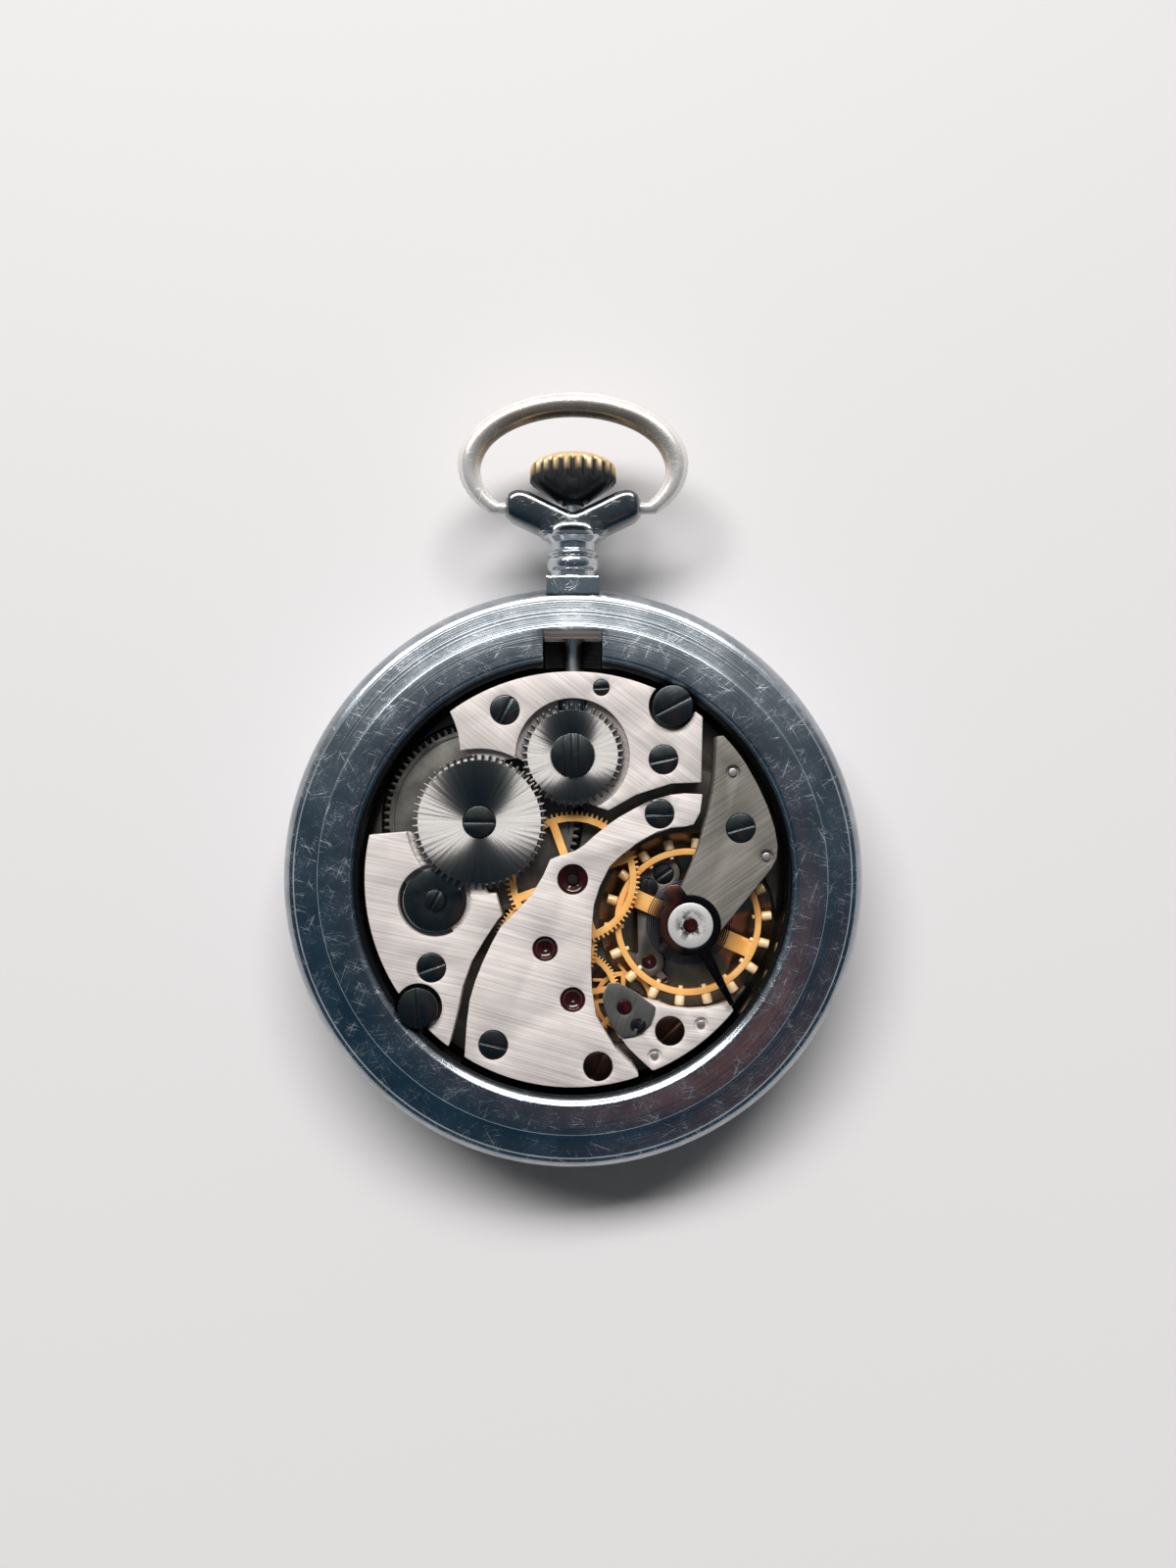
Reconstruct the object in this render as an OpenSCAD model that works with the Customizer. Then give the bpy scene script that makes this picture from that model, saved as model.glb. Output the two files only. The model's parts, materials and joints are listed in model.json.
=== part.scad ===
// Pocket watch lying face down with its case back off, in millimetres.
// Z points up, away from the crystal, Y points to the crown, and the centre wheel turns about Z.
// The origin is the middle of the crystal's flat outer face, on which the watch rests.

/* [Case] */
// Widest radius of the case middle, at the height of the stem
case_r = 25.2; // [24:0.1:28]
// Distance from the widest radius in to the ring's outer top edge
band_in = 1.2; // [0.8:0.1:1.6]
// Distance from the widest radius in to the raised step that the case back snaps over
boss_in = 3.4; // [3:0.1:4]
// Height of the raised step above the outer band
boss_h = 0.8; // [0.5:0.1:1.2]
// Radius of the opening round the movement
opening_r = 18.35; // [18.2:0.05:18.8]
// Width of the chamfer at the opening's edge
lip_chamfer_w = 0.85; // [0.4:0.05:1.2]
// Drop of that chamfer
lip_chamfer_h = 0.6; // [0.3:0.05:0.8]
// Height of the case's top face over the barrel bridge
case_rise = 0.4; // [0.2:0.1:1]
// Width of the notch over the stem
notch_w = 5.05; // [4.9:0.05:6]
// Wall left between the notch and the raised step's edge
notch_wall = 0.6; // [0.4:0.1:1]

/* [Pendant, crown and bow] */
// Radius of the pendant's neck
neck_r = 2.25; // [2:0.05:2.8]
// Distance from the case's widest radius out to the bow's pivots
pivot_out = 7.1; // [6.6:0.1:8]
// Distance from the middle to the outer face of each bow ear
ear_reach = 5.9; // [5.6:0.05:6.6]
// Half the thickness of the saddle that ends in the bow ears
saddle_half_t = 1.75; // [1.5:0.05:2]
// Half of the bow's width along its middle line
bow_half_w = 9.1; // [8.6:0.1:10.5]
// Half of the bow's length along its middle line
bow_half_l = 5.5; // [5:0.1:6.5]
// Distance from the bow's pivots out to the middle of the bow
bow_mid_out = 3.6; // [3:0.1:4.5]
// Radius of the bow's wire at its top
bow_wire_r = 1.1; // [0.8:0.05:1.3]
// Radius of the bow's wire where it meets the ears
bow_end_r = 0.6; // [0.5:0.05:0.8]
// Radius of the crown
crown_r = 3.8; // [3:0.05:4]
// Height of the crown along the stem
crown_l = 3.8; // [3.5:0.1:5]
// Number of flutes on the crown
crown_flutes = 22; // [16:1:36]
// Travel of the crown when it is pulled
crown_pull = 1; // [0.6:0.1:1.2]

/* [Dial side] */
// Thickness of the crystal
crystal_t = 1.1; // [0.8:0.1:1.3]
// Radius of the crystal
crystal_r = 20.6; // [20.3:0.05:20.8]
// Distance from the crystal's outer face to the dial
dial_z = 3.6; // [3.5:0.05:3.8]
// Thickness of the dial
dial_t = 0.4; // [0.3:0.05:0.5]
// Radius of the dial
dial_r = 20.5; // [20:0.05:20.6]
// Length of the minute hand
minute_hand_l = 15.6; // [12:0.1:16.5]
// Length of the hour hand
hour_hand_l = 10.2; // [8:0.1:12]
// Length of the seconds hand
seconds_hand_l = 3.6; // [2.5:0.1:4.2]

/* [Plates] */
// Radius of the main plate
plate_r = 17.95; // [17.5:0.05:18.1]
// Thickness of the main plate
plate_t = 2.4; // [2.3:0.05:2.6]
// Radius of the bridges' outer edge
bridge_r = 17.75; // [17.4:0.05:17.9]
// Room between the main plate and the bridges
train_room = 1.7; // [1.65:0.05:2]
// Thickness of the barrel bridge
barrel_bridge_t = 1.3; // [1.25:0.05:1.5]
// Thickness of the train bridge
train_bridge_t = 1.2; // [1:0.05:1.4]
// Thickness of the escape bridge
escape_bridge_t = 1.1; // [0.9:0.05:1.3]
// Thickness of the balance cock
cock_t = 1.2; // [1:0.05:1.4]

/* [Train] */
// Middle of the barrel
barrel_at = [-7.95, 4.93];
// Middle of the third wheel
third_at = [-2.36, -5.93];
// Middle of the fourth wheel, which carries the seconds hand
fourth_at = [0, -10.28];
// Middle of the escape wheel
escape_at = [4.41, -10.9];
// Middle of the pallet fork
pallet_at = [6.67, -7.44];
// Middle of the balance
balance_at = [10, -3.84];
// Middle of the crown wheel
crown_wheel_at = [0, 10.6];
// Middle of the click
click_at = [-11.8, -1.84];
// Middle of the minute wheel behind the dial
minute_at = [2, 3.7];
// Teeth of the barrel
barrel_n = 80; // [72:1:90]
// Teeth of the centre wheel
centre_n = 80; // [72:1:90]
// Leaves of the centre, third and fourth pinions
pinion_n = 10; // [8:1:12]
// Teeth of the third wheel
third_n = 75; // [60:1:80]
// Teeth of the fourth wheel
fourth_n = 80; // [70:1:84]
// Leaves of the escape pinion
escape_pinion_n = 8; // [7:1:10]
// Teeth of the escape wheel
escape_n = 15; // [15:1:20]
// Teeth of the ratchet wheel
ratchet_n = 56; // [48:1:64]
// Teeth of the crown wheel
crown_wheel_n = 42; // [36:1:48]
// Teeth of the winding pinion
winding_n = 20; // [16:1:22]

/* [Escapement and balance] */
// Radius of the circle through the escape wheel's tips
escape_r = 3.35; // [3:0.05:3.4]
// Angle that the pallet fork rocks each way
pallet_rock = 5; // [4:0.5:6]
// Outer radius of the balance rim
rim_r = 6.38; // [6:0.05:6.45]
// Radial width of the balance rim
rim_w = 0.53; // [0.4:0.01:0.7]
// Number of balance screws
balance_screw_n = 18; // [12:2:20]
// Radius of the balance screws' heads
balance_screw_r = 0.42; // [0.3:0.01:0.45]
// Outer radius of the hairspring
hairspring_r = 4.2; // [3.6:0.05:4.4]
// Distance from one turn of the hairspring to the next
hairspring_pitch = 0.52; // [0.5:0.01:0.7]
// Length of the regulator's tail from the balance axis
regulator_tail = 7.6; // [6:0.1:7.7]

/* [Fasteners and jewels] */
// Radius of the bridge screws' heads
screw_head_r = 1.22; // [1:0.02:1.3]
// Radius of the bridge screws' shanks
screw_shank_r = 0.6; // [0.4:0.02:0.7]
// Radius of the case screws' heads
case_screw_r = 1.7; // [1.4:0.05:1.8]
// Radius of the small screws' heads
small_screw_r = 0.66; // [0.5:0.02:0.7]
// Radius of the dowel pins
dowel_r = 0.35; // [0.25:0.01:0.45]
// Radius of the jewel at the centre wheel
centre_jewel_r = 1.3; // [1.1:0.05:1.4]
// Radius of the jewel at the third and fourth wheels
train_jewel_r = 1.07; // [0.8:0.01:1.2]
// Radius of the escapement's jewels
small_jewel_r = 0.62; // [0.5:0.01:0.7]

/* [Fits] */
// Radial gap round a shaft that turns or slides
run_gap = 0.04; // [0.03:0.01:0.08]
// Gap between pieces that are fixed together
seat_gap = 0.01; // [0.005:0.005:0.03]
// Gap between pieces that pass each other
pass_gap = 0.12; // [0.1:0.01:0.2]

/* [Hidden] */
$fn = 64;
tiny = 0.01;
far = 60;

// Heights of the layers, from the dial up
plate_z0 = dial_z + dial_t;
plate_z1 = plate_z0 + plate_t;
bridge_z0 = plate_z1 + train_room;
barrel_bridge_z1 = bridge_z0 + barrel_bridge_t;
train_bridge_z1 = bridge_z0 + train_bridge_t;
escape_bridge_z1 = bridge_z0 + escape_bridge_t;
cock_z0 = bridge_z0 + 0.4;
cock_z1 = cock_z0 + cock_t;
case_top_z = barrel_bridge_z1 + case_rise;
band_r = case_r - band_in;
boss_r = case_r - boss_in;
notch_end = boss_r - notch_wall;
bow_pivot_y = case_r + pivot_out;
bow_mid_y = bow_pivot_y + bow_mid_out;
plate_flange_r = plate_r + 0.65;
plate_flange_h = 0.8;

// Heights of the wheels
barrel_h = 1.8;
barrel_z0 = bridge_z0 - 0.95 - barrel_h;
barrel_teeth_h = 0.6;
barrel_teeth_z = barrel_z0 + barrel_h - barrel_teeth_h;
centre_wheel_z = bridge_z0 - 0.5;
centre_wheel_h = 0.25;
third_wheel_z = centre_wheel_z - 0.35;
third_wheel_h = 0.22;
fourth_wheel_z = plate_z1 + 0.25;
fourth_wheel_h = 0.2;
escape_wheel_z = plate_z1 - 0.45;
escape_wheel_h = 0.15;
fork_z = plate_z1 - 0.55;
fork_h = 0.25;
pallet_bridge_z = plate_z1 - 0.25;
pallet_bridge_h = 0.3;
rim_z = plate_z1 + 0.3;
rim_h = 0.6;
hairspring_z = bridge_z0 - 0.2;
hairspring_h = 0.2;
hairspring_t = 0.07;
ratchet_z = bridge_z0 + 0.8;
ratchet_h = 0.65;
ratchet_floor_z = ratchet_z - 0.1;
crown_wheel_z = bridge_z0 + 0.4;
crown_wheel_floor_z = crown_wheel_z - 0.05;
stem_z = max(plate_z1, (crown_wheel_z + plate_z0) / 2 + 0.1);
click_z = bridge_z0 + 0.34;
click_h = 0.4;

// Tooth shapes in shares of the pitch and in modules
wheel_share = 0.42;
leaf_share = 0.32;
wheel_add = 1.15;
wheel_ded = 1.3;
leaf_add = 0.7;
leaf_ded = 1.6;
wind_add = 1.25;
wind_ded = 1.5;
tip_share = 0.3;

// Sizes of the teeth, from the distances between the axes
barrel_m = 2 * norm(barrel_at) / (barrel_n + pinion_n);
centre_m = 2 * norm(third_at) / (centre_n + pinion_n);
third_m = 2 * norm(fourth_at - third_at) / (third_n + pinion_n);
fourth_m = 2 * norm(escape_at - fourth_at) / (fourth_n + escape_pinion_n);
wind_m = 2 * norm(barrel_at - crown_wheel_at) / (ratchet_n + crown_wheel_n);
cannon_n = 12;
minute_n = 36;
minute_pinion_n = 10;
hour_n = 40;
setting_n = 20;
cannon_m = 2 * norm(minute_at) / (cannon_n + minute_n);
hour_m = 2 * norm(minute_at) / (minute_pinion_n + hour_n);
setting_reach = cannon_m * (minute_n + setting_n) / 2;
setting_at = [minute_at[0] - setting_reach * sin(20), minute_at[1] + setting_reach * cos(20)];
barrel_tip_r = barrel_m * (barrel_n / 2 + wheel_add);
ratchet_tip_r = wind_m * (ratchet_n / 2 + wind_add);
crown_wheel_tip_r = wind_m * (crown_wheel_n / 2 + wind_add);
ratchet_recess_r = ratchet_tip_r + 0.4;
crown_recess_r = crown_wheel_tip_r + 0.42;
click_r = 2.7;
click_recess_r = click_r + 0.4;

// Places of the fasteners: x, y, height of the bridge they hold and angle of the slot
bridge_screw_list = [
  [-5.78, 14.45, barrel_bridge_z1, 62],
  [7.75, 10.23, barrel_bridge_z1, 12],
  [-12.05, -7.52, barrel_bridge_z1, 20],
  [7.42, 5.6, train_bridge_z1, 2],
  [-6.78, -14.12, train_bridge_z1, -13],
  [2.16, -15.96, train_bridge_z1, 65],
  [14.3, 4.39, cock_z1, 15],
  [8.3, -12.95, escape_bridge_z1, 45]
];
case_screw_list = [[8.5, 14.8, 27], [-13.13, -10.86, 92]];
case_screw_z = case_top_z - lip_chamfer_h + 0.32;
case_screw_cut_r = case_screw_r + 0.3;
dowel_list = [
  [13.64, 9.15, cock_z1],
  [16.5, 1.96, cock_z1],
  [10.97, -12.4, escape_bridge_z1],
  [7, -15.08, escape_bridge_z1]
];
setting_screw_at = [2.45, 16.37];
endstone_screw_at = [5.58, -12.36];
endstone_h = 0.22;
setting_disc_r = 1.92;
setting_disc_h = 0.25;
screw_head_h = 0.5;
slot_w = 0.28;
slot_d = 0.22;
balance_recess_r = 7.75;
balance_recess_z = plate_z0 + 1;
escape_recess_z = plate_z1 - 0.7;
barrel_recess_z = barrel_z0 - 0.15;
dial_recess_z = plate_z0 + 0.7;
pivot_r = 0.12;
centre_arbor_r = 0.6;
stem_r = 0.75;
lever_groove_y = setting_screw_at[1] + 0.23;

// Shared helpers
function turned(p, a) = [p[0] * cos(a) - p[1] * sin(a), p[0] * sin(a) + p[1] * cos(a)];
function polar(r, a) = [r * cos(a), r * sin(a)];
function heading(a, b) = atan2(b[1] - a[1], b[0] - a[0]);

module slab(z0, z1) {
  translate([0, 0, z0])
    linear_extrude(z1 - z0)
      children();
}

module disc(r, z0, z1) {
  translate([0, 0, z0])
    cylinder(r = r, h = z1 - z0);
}

module at(p) {
  translate([p[0], p[1], 0])
    children();
}

// Draws along the stem: local Z is the distance from the centre
module on_stem() {
  translate([0, 0, stem_z])
    rotate([-90, 0, 0])
      children();
}

// Bar with round ends from one point to another
module bar(a, b, w) {
  translate([a[0], a[1]])
    rotate(heading(a, b)) {
      translate([0, -w / 2])
        square([norm([b[0] - a[0], b[1] - a[1]]), w]);
      circle(w / 2);
    }
  translate([b[0], b[1]])
    circle(w / 2);
}

// One tooth as radius and angle, for wheels and for pinion leaves
function tooth(r, m, half, add, ded, tip) = [
  [r - ded * m, -half],
  [r, -half],
  [r + add * m, -half * tip],
  [r + add * m, half * tip],
  [r, half],
  [r - ded * m, half]
];

// Outline of a toothed wheel whose first tooth stands at the given angle
function gear(n, m, share, add, ded, first, tip) = [
  for (i = [0 : n - 1])
    for (q = tooth(n * m / 2, m, 180 / n * share, add, ded, tip))
      polar(q[0], first + i * 360 / n + q[1])
];

// Outline of one window between two wheel arms
function window_half(r, w) = asin(w / 2 / r);
function window(r0, r1, w, a0, a1) = let (steps = 8) [
  for (i = [0 : steps])
    let (h = window_half(r1, w))
      polar(r1, a0 + h + (a1 - a0 - 2 * h) * i / steps),
  for (i = [steps : -1 : 0])
    let (h = window_half(r0, w))
      polar(r0, a0 + h + (a1 - a0 - 2 * h) * i / steps)
];

// Toothed wheel with arms
module armed_wheel(n, m, first, z0, h, bore, hub, rim, arms, arm_w, arm_a) {
  root = m * (n / 2 - wheel_ded);
  slab(z0, z0 + h)
    difference() {
      polygon(gear(n, m, wheel_share, wheel_add, wheel_ded, first, tip_share));
      circle(bore);
      for (i = [0 : arms - 1])
        polygon(window(hub, root - rim, arm_w, arm_a + i * 360 / arms,
          arm_a + (i + 1) * 360 / arms));
    }
}

// Leaves of a pinion whose first gap stands at the given angle
module leaves(n, m, gap_at, z0, z1, bore) {
  slab(z0, z1)
    difference() {
      polygon(gear(n, m, leaf_share, leaf_add, leaf_ded, gap_at + 180 / n, tip_share));
      if (bore > 0)
        circle(bore);
    }
}

// Flat spiral strip from an inner to an outer radius, ending at the given angle
function spiral_turns(r0, r1, pitch) = floor((r1 - r0) / pitch);
function spiral(r1, pitch, turns, end_a, side) = let (steps = turns * 24) [
  for (i = [0 : steps])
    polar(r1 - pitch * i / 24 + side, end_a + i * 15)
];
function least_gap(pts, apart) = min([
  for (i = [0 : len(pts) - 1])
    for (j = [i + apart : 1 : len(pts) - 1])
      norm(pts[i] - pts[j])
]);

module spiral_strip(r1, pitch, turns, end_a, t, z0, z1, name) {
  outer = spiral(r1, pitch, turns, end_a, 0);
  inner = spiral(r1, pitch, turns, end_a, -t);
  echo(str(name, " least gap between turns, mm: "), least_gap(outer, 18) - t);
  slab(z0, z1)
    polygon(concat(outer, [for (i = [len(inner) - 1 : -1 : 0]) inner[i]]));
}

// Screw head with one slot, its top at the given height
module slotted_head(r, h, top, angle) {
  difference() {
    disc(r, top - h, top);
    rotate(angle)
      translate([-r - tiny, -slot_w / 2, top - slot_d])
        cube([2 * r + 2 * tiny, slot_w, slot_d + tiny]);
  }
}

// Case middle: a turned ring with the raised step for the back and the notch over the stem
bezel_seat_r = case_r - 2.2;
bezel_seat_z = dial_z;
band_z = case_top_z - boss_h;
flank_bottom_r = case_r - 1.3;
flank_steps = 8;
function flank(r0, z0, r1, z1) = [
  for (i = [1 : flank_steps])
    let (a = 90 * i / flank_steps)
      [r0 + (r1 - r0) * sin(a), z1 + (z0 - z1) * cos(a)]
];
case_profile = concat(
  [
    [dial_r + 0.2, bezel_seat_z - 0.6],
    [bezel_seat_r, bezel_seat_z - 0.6],
    [bezel_seat_r, bezel_seat_z],
    [flank_bottom_r, bezel_seat_z]
  ],
  flank(flank_bottom_r, bezel_seat_z, case_r, stem_z),
  [
    for (i = [1 : flank_steps])
      let (a = 90 * i / flank_steps)
        [case_r + (band_r - case_r) * (1 - cos(a)), stem_z + (band_z - 0.15 - stem_z) * sin(a)]
  ],
  [
    [band_r - 0.15, band_z],
    [boss_r, band_z],
    [boss_r, case_top_z - 0.15],
    [boss_r - 0.15, case_top_z],
    [opening_r + lip_chamfer_w, case_top_z],
    [opening_r, case_top_z - lip_chamfer_h],
    [opening_r, plate_z0 + plate_flange_h + 0.05],
    [plate_flange_r + 0.1, plate_z0 + plate_flange_h + 0.05],
    [plate_flange_r + 0.1, plate_z0],
    [dial_r + 0.2, plate_z0]
  ]
);
stem_hole_r = stem_r + 0.25;
notch_floor_z = stem_z - 0.9;
notch_step_z = stem_z + 1.6;
notch_step_l = 0.42;

module case_middle() {
  color("SlateGray")
  difference() {
    rotate_extrude()
      polygon(case_profile);
    translate([-notch_w / 2, 0, 0])
      rotate([90, 0, 90])
        linear_extrude(notch_w)
          polygon([
            [opening_r - 1, notch_floor_z],
            [notch_end - notch_step_l, notch_floor_z],
            [notch_end - notch_step_l, notch_step_z],
            [notch_end, notch_step_z],
            [notch_end, case_top_z + 1],
            [opening_r - 1, case_top_z + 1]
          ]);
    on_stem()
      disc(stem_hole_r, opening_r - 1, pendant_y0 + 0.3);
    translate([-base_half_w - seat_gap, pendant_y0 - seat_gap, stem_z - base_half_h - seat_gap])
      cube([2 * (base_half_w + seat_gap), case_r, 2 * (base_half_h + seat_gap)]);
  }
}

// Pendant: turned neck on a square foot, under a saddle whose two ears hold the bow
pendant_y0 = case_r - 0.8;
base_half_w = neck_r;
base_half_h = neck_r + 0.2;
neck_base_y = case_r + 0.8;
neck_y1 = bow_pivot_y - 2.2;
saddle_y0 = neck_y1 - 0.35;
saddle_dip = 0.6;
ear_x0 = crown_r + 0.35;
bow_pin_r = 0.5;
bead_y = case_r + 2.1;
bead_half_l = 0.6;
bead_steps = 8;
ridge_y = bead_y + 0.85;
crown_neck_r = stem_r + 0.25;
crown_neck_l = 0.3;
neck_profile = concat(
  [
    [0, pendant_y0 + 0.3],
    [neck_r - 0.3, pendant_y0 + 0.3]
  ],
  [
    for (i = [0 : bead_steps])
      let (a = -90 + 180 * i / bead_steps)
        [neck_r - 0.3 + 0.35 * cos(a), bead_y + bead_half_l * sin(a)]
  ],
  [
    [neck_r - 0.3, ridge_y - 0.12],
    [neck_r, ridge_y - 0.08],
    [neck_r, ridge_y + 0.08],
    [neck_r - 0.35, ridge_y + 0.3],
    [neck_r - 0.3, neck_y1 - 1],
    [neck_r + 0.25, neck_y1 - 0.5],
    [neck_r + 0.25, neck_y1],
    [0, neck_y1]
  ]
);
saddle_side = [
  [neck_r + 0.2, saddle_y0],
  [ear_reach, bow_pivot_y - 0.95],
  [ear_reach, bow_pivot_y + 0.9],
  [ear_reach - 0.8, bow_pivot_y + 1.5],
  [ear_reach - 1.7, bow_pivot_y + 1.45]
];
saddle_outline = concat(
  saddle_side,
  [[0, bow_pivot_y - saddle_dip]],
  [for (i = [len(saddle_side) - 1 : -1 : 0]) [-saddle_side[i][0], saddle_side[i][1]]]
);

module pendant() {
  color("Silver")
  difference() {
    union() {
      on_stem()
        rotate_extrude()
          polygon(neck_profile);
      translate([-base_half_w, pendant_y0, stem_z - base_half_h])
        cube([2 * base_half_w, neck_base_y - pendant_y0, 2 * base_half_h]);
      slab(stem_z - saddle_half_t, stem_z + saddle_half_t)
        polygon(saddle_outline);
    }
    for (s = [0, 1])
      mirror([s, 0, 0])
        translate([ear_x0 + 0.35, bow_pivot_y, stem_z])
          rotate([0, 90, 0])
            cylinder(r = bow_pin_r + run_gap, h = far);
    on_stem()
      disc(stem_r + 0.1, pendant_y0 - 1, far);
  }
}

// Bow: one oval wire that thins towards its two ends, with a pin at each end
bow_rings = 48;
bow_sides = 12;
bow_pin_x0 = ear_x0 + 0.5;
bow_pin_x1 = ear_reach + 0.15;
bow_start = asin((bow_pivot_y - bow_mid_y) / bow_half_l);
function bow_angle(i) = bow_start + (180 - 2 * bow_start) * i / bow_rings;
function bow_point(a) = [bow_half_w * cos(a), bow_mid_y + bow_half_l * sin(a)];
function bow_normal(a) = let (v = [bow_half_l * cos(a), bow_half_w * sin(a)]) v / norm(v);
function bow_radius(i) = bow_end_r + (bow_wire_r - bow_end_r) * min(1, 1.7 * sin(180 * i / bow_rings));
// Each ring is its middle, its direction across the wire and its radius
bow_ring_list = concat(
  [for (x = [bow_pin_x0, bow_pin_x1]) [[x, bow_pivot_y], [0, -1], bow_pin_r]],
  [for (i = [0 : bow_rings]) let (a = bow_angle(i)) [bow_point(a), bow_normal(a), bow_radius(i)]],
  [for (x = [-bow_pin_x1, -bow_pin_x0]) [[x, bow_pivot_y], [0, -1], bow_pin_r]]
);
bow_points = [
  for (ring = bow_ring_list)
    for (k = [0 : bow_sides - 1])
      let (f = 360 * k / bow_sides, c = ring[0], n = ring[1], r = ring[2])
        [c[0] + r * cos(f) * n[0], c[1] + r * cos(f) * n[1], stem_z + r * sin(f)]
];
bow_last = (len(bow_ring_list) - 1) * bow_sides;
bow_faces = concat(
  [[for (k = [0 : bow_sides - 1]) k]],
  [
    for (a = [0 : bow_sides : bow_last - bow_sides])
      for (k = [0 : bow_sides - 1])
        let (b = a + bow_sides, j = (k + 1) % bow_sides)
          each [[a + k, b + k, b + j], [a + k, b + j, a + j]]
  ],
  [[for (k = [bow_sides - 1 : -1 : 0]) bow_last + k]]
);

module bow() {
  color("LightGray")
    polyhedron(bow_points, bow_faces);
}

// Bezel: snap ring that holds the crystal
bezel_profile = [
  [bezel_seat_r + 0.05, bezel_seat_z - tiny],
  [bezel_seat_r + 0.05, bezel_seat_z - 0.65],
  [crystal_r - 0.5, bezel_seat_z - 0.65],
  [crystal_r - 0.5, bezel_seat_z - 0.95],
  [crystal_r + seat_gap, bezel_seat_z - 0.95],
  [crystal_r + seat_gap, 1.5],
  [crystal_r + 0.6, 1.3],
  [bezel_seat_r, 1.75],
  [flank_bottom_r, 2.5],
  [flank_bottom_r + 0.3, 3.1],
  [flank_bottom_r + 0.3, bezel_seat_z - 0.15],
  [flank_bottom_r + 0.1, bezel_seat_z - tiny]
];

module bezel() {
  color("Silver")
    rotate_extrude()
      polygon(bezel_profile);
}

// Crystal: clear domed disc with a flat face, on which the watch rests
crystal_rim_z = dial_z - 0.97;

module crystal() {
  color("LightCyan", 0.4)
    rotate_extrude()
      polygon([
        [0, 0],
        [17, 0],
        [19.4, 0.8],
        [crystal_r, 1.9],
        [crystal_r, crystal_rim_z],
        [crystal_r - 0.7, crystal_rim_z],
        [crystal_r - 0.7, 2.15],
        [18.9, crystal_t + 0.7],
        [16.8, crystal_t],
        [0, crystal_t]
      ]);
}

// Crown: fluted knob with a cone under it and a neck that enters the pendant
crown_y0 = bow_pivot_y + 0.5;
crown_foot_r = 1.4;
crown_cone_l = 1.7;
flute_depth = 0.45;

module crown() {
  star = [
    for (i = [0 : 2 * crown_flutes - 1])
      polar(crown_r - (i % 2) * flute_depth, i * 180 / crown_flutes)
  ];
  color("DarkGoldenrod")
  difference() {
    union() {
      intersection() {
        on_stem()
          rotate_extrude()
            polygon([
              [0, crown_y0],
              [crown_foot_r, crown_y0],
              [crown_r + tiny, crown_y0 + crown_cone_l],
              [crown_r + tiny, crown_y0 + crown_l - 0.85],
              [crown_r - 0.6, crown_y0 + crown_l - 0.25],
              [crown_r - 1.2, crown_y0 + crown_l],
              [0, crown_y0 + crown_l]
            ]);
        on_stem()
          slab(crown_y0 - 1, crown_y0 + crown_l + 1)
            polygon(star);
      }
      on_stem()
        disc(crown_neck_r, crown_y0 - crown_neck_l, crown_y0 + tiny);
    }
    on_stem()
      disc(stem_r + seat_gap, 0, crown_y0 + crown_l / 2);
  }
}

// Winding stem: one turned steel rod with the setting lever's groove
stem_y0 = 10.4;
groove_w = 0.62;

module winding_stem() {
  color("DimGray")
    on_stem()
      rotate_extrude()
        polygon([
          [0, stem_y0],
          [stem_r, stem_y0],
          [stem_r, lever_groove_y - groove_w / 2],
          [stem_r - 0.3, lever_groove_y - groove_w / 2],
          [stem_r - 0.3, lever_groove_y + groove_w / 2],
          [stem_r, lever_groove_y + groove_w / 2],
          [stem_r, crown_y0 + crown_l / 2],
          [0, crown_y0 + crown_l / 2]
        ]);
}

// Case screws: wide heads that reach over the case's opening
case_screw_shank_r = 0.8;
case_screw_l = 4.6;

module case_screws() {
  color("#202428")
    for (p = case_screw_list)
      at(p) {
        slotted_head(case_screw_r, screw_head_h, case_screw_z + screw_head_h, p[2]);
        disc(case_screw_shank_r, case_screw_z - case_screw_l + screw_head_h, case_screw_z + tiny);
      }
}

// Main plate: carries the train and has its pockets milled from both sides
winding_tip_r = crown_wheel_z + 0.15 - stem_z;
winding_y0 = crown_wheel_at[1] + wind_m * (crown_wheel_n / 2 - wind_ded) + 0.08;
winding_l = 1.15;
clutch_r = 1.35;
clutch_y0 = 11.25;
clutch_y1 = winding_y0 - 0.15;
clutch_travel = 0.7 * crown_pull;
keyless_z1 = plate_z0 + 0.6;

module stem_pockets() {
  on_stem() {
    disc(stem_r + run_gap, clutch_y0 - 1, far);
    disc(winding_tip_r + pass_gap, winding_y0 - 0.1, winding_y0 + winding_l + 0.1);
    disc(clutch_r + pass_gap, clutch_y0 - clutch_travel - 0.25, winding_y0);
  }
}

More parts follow.
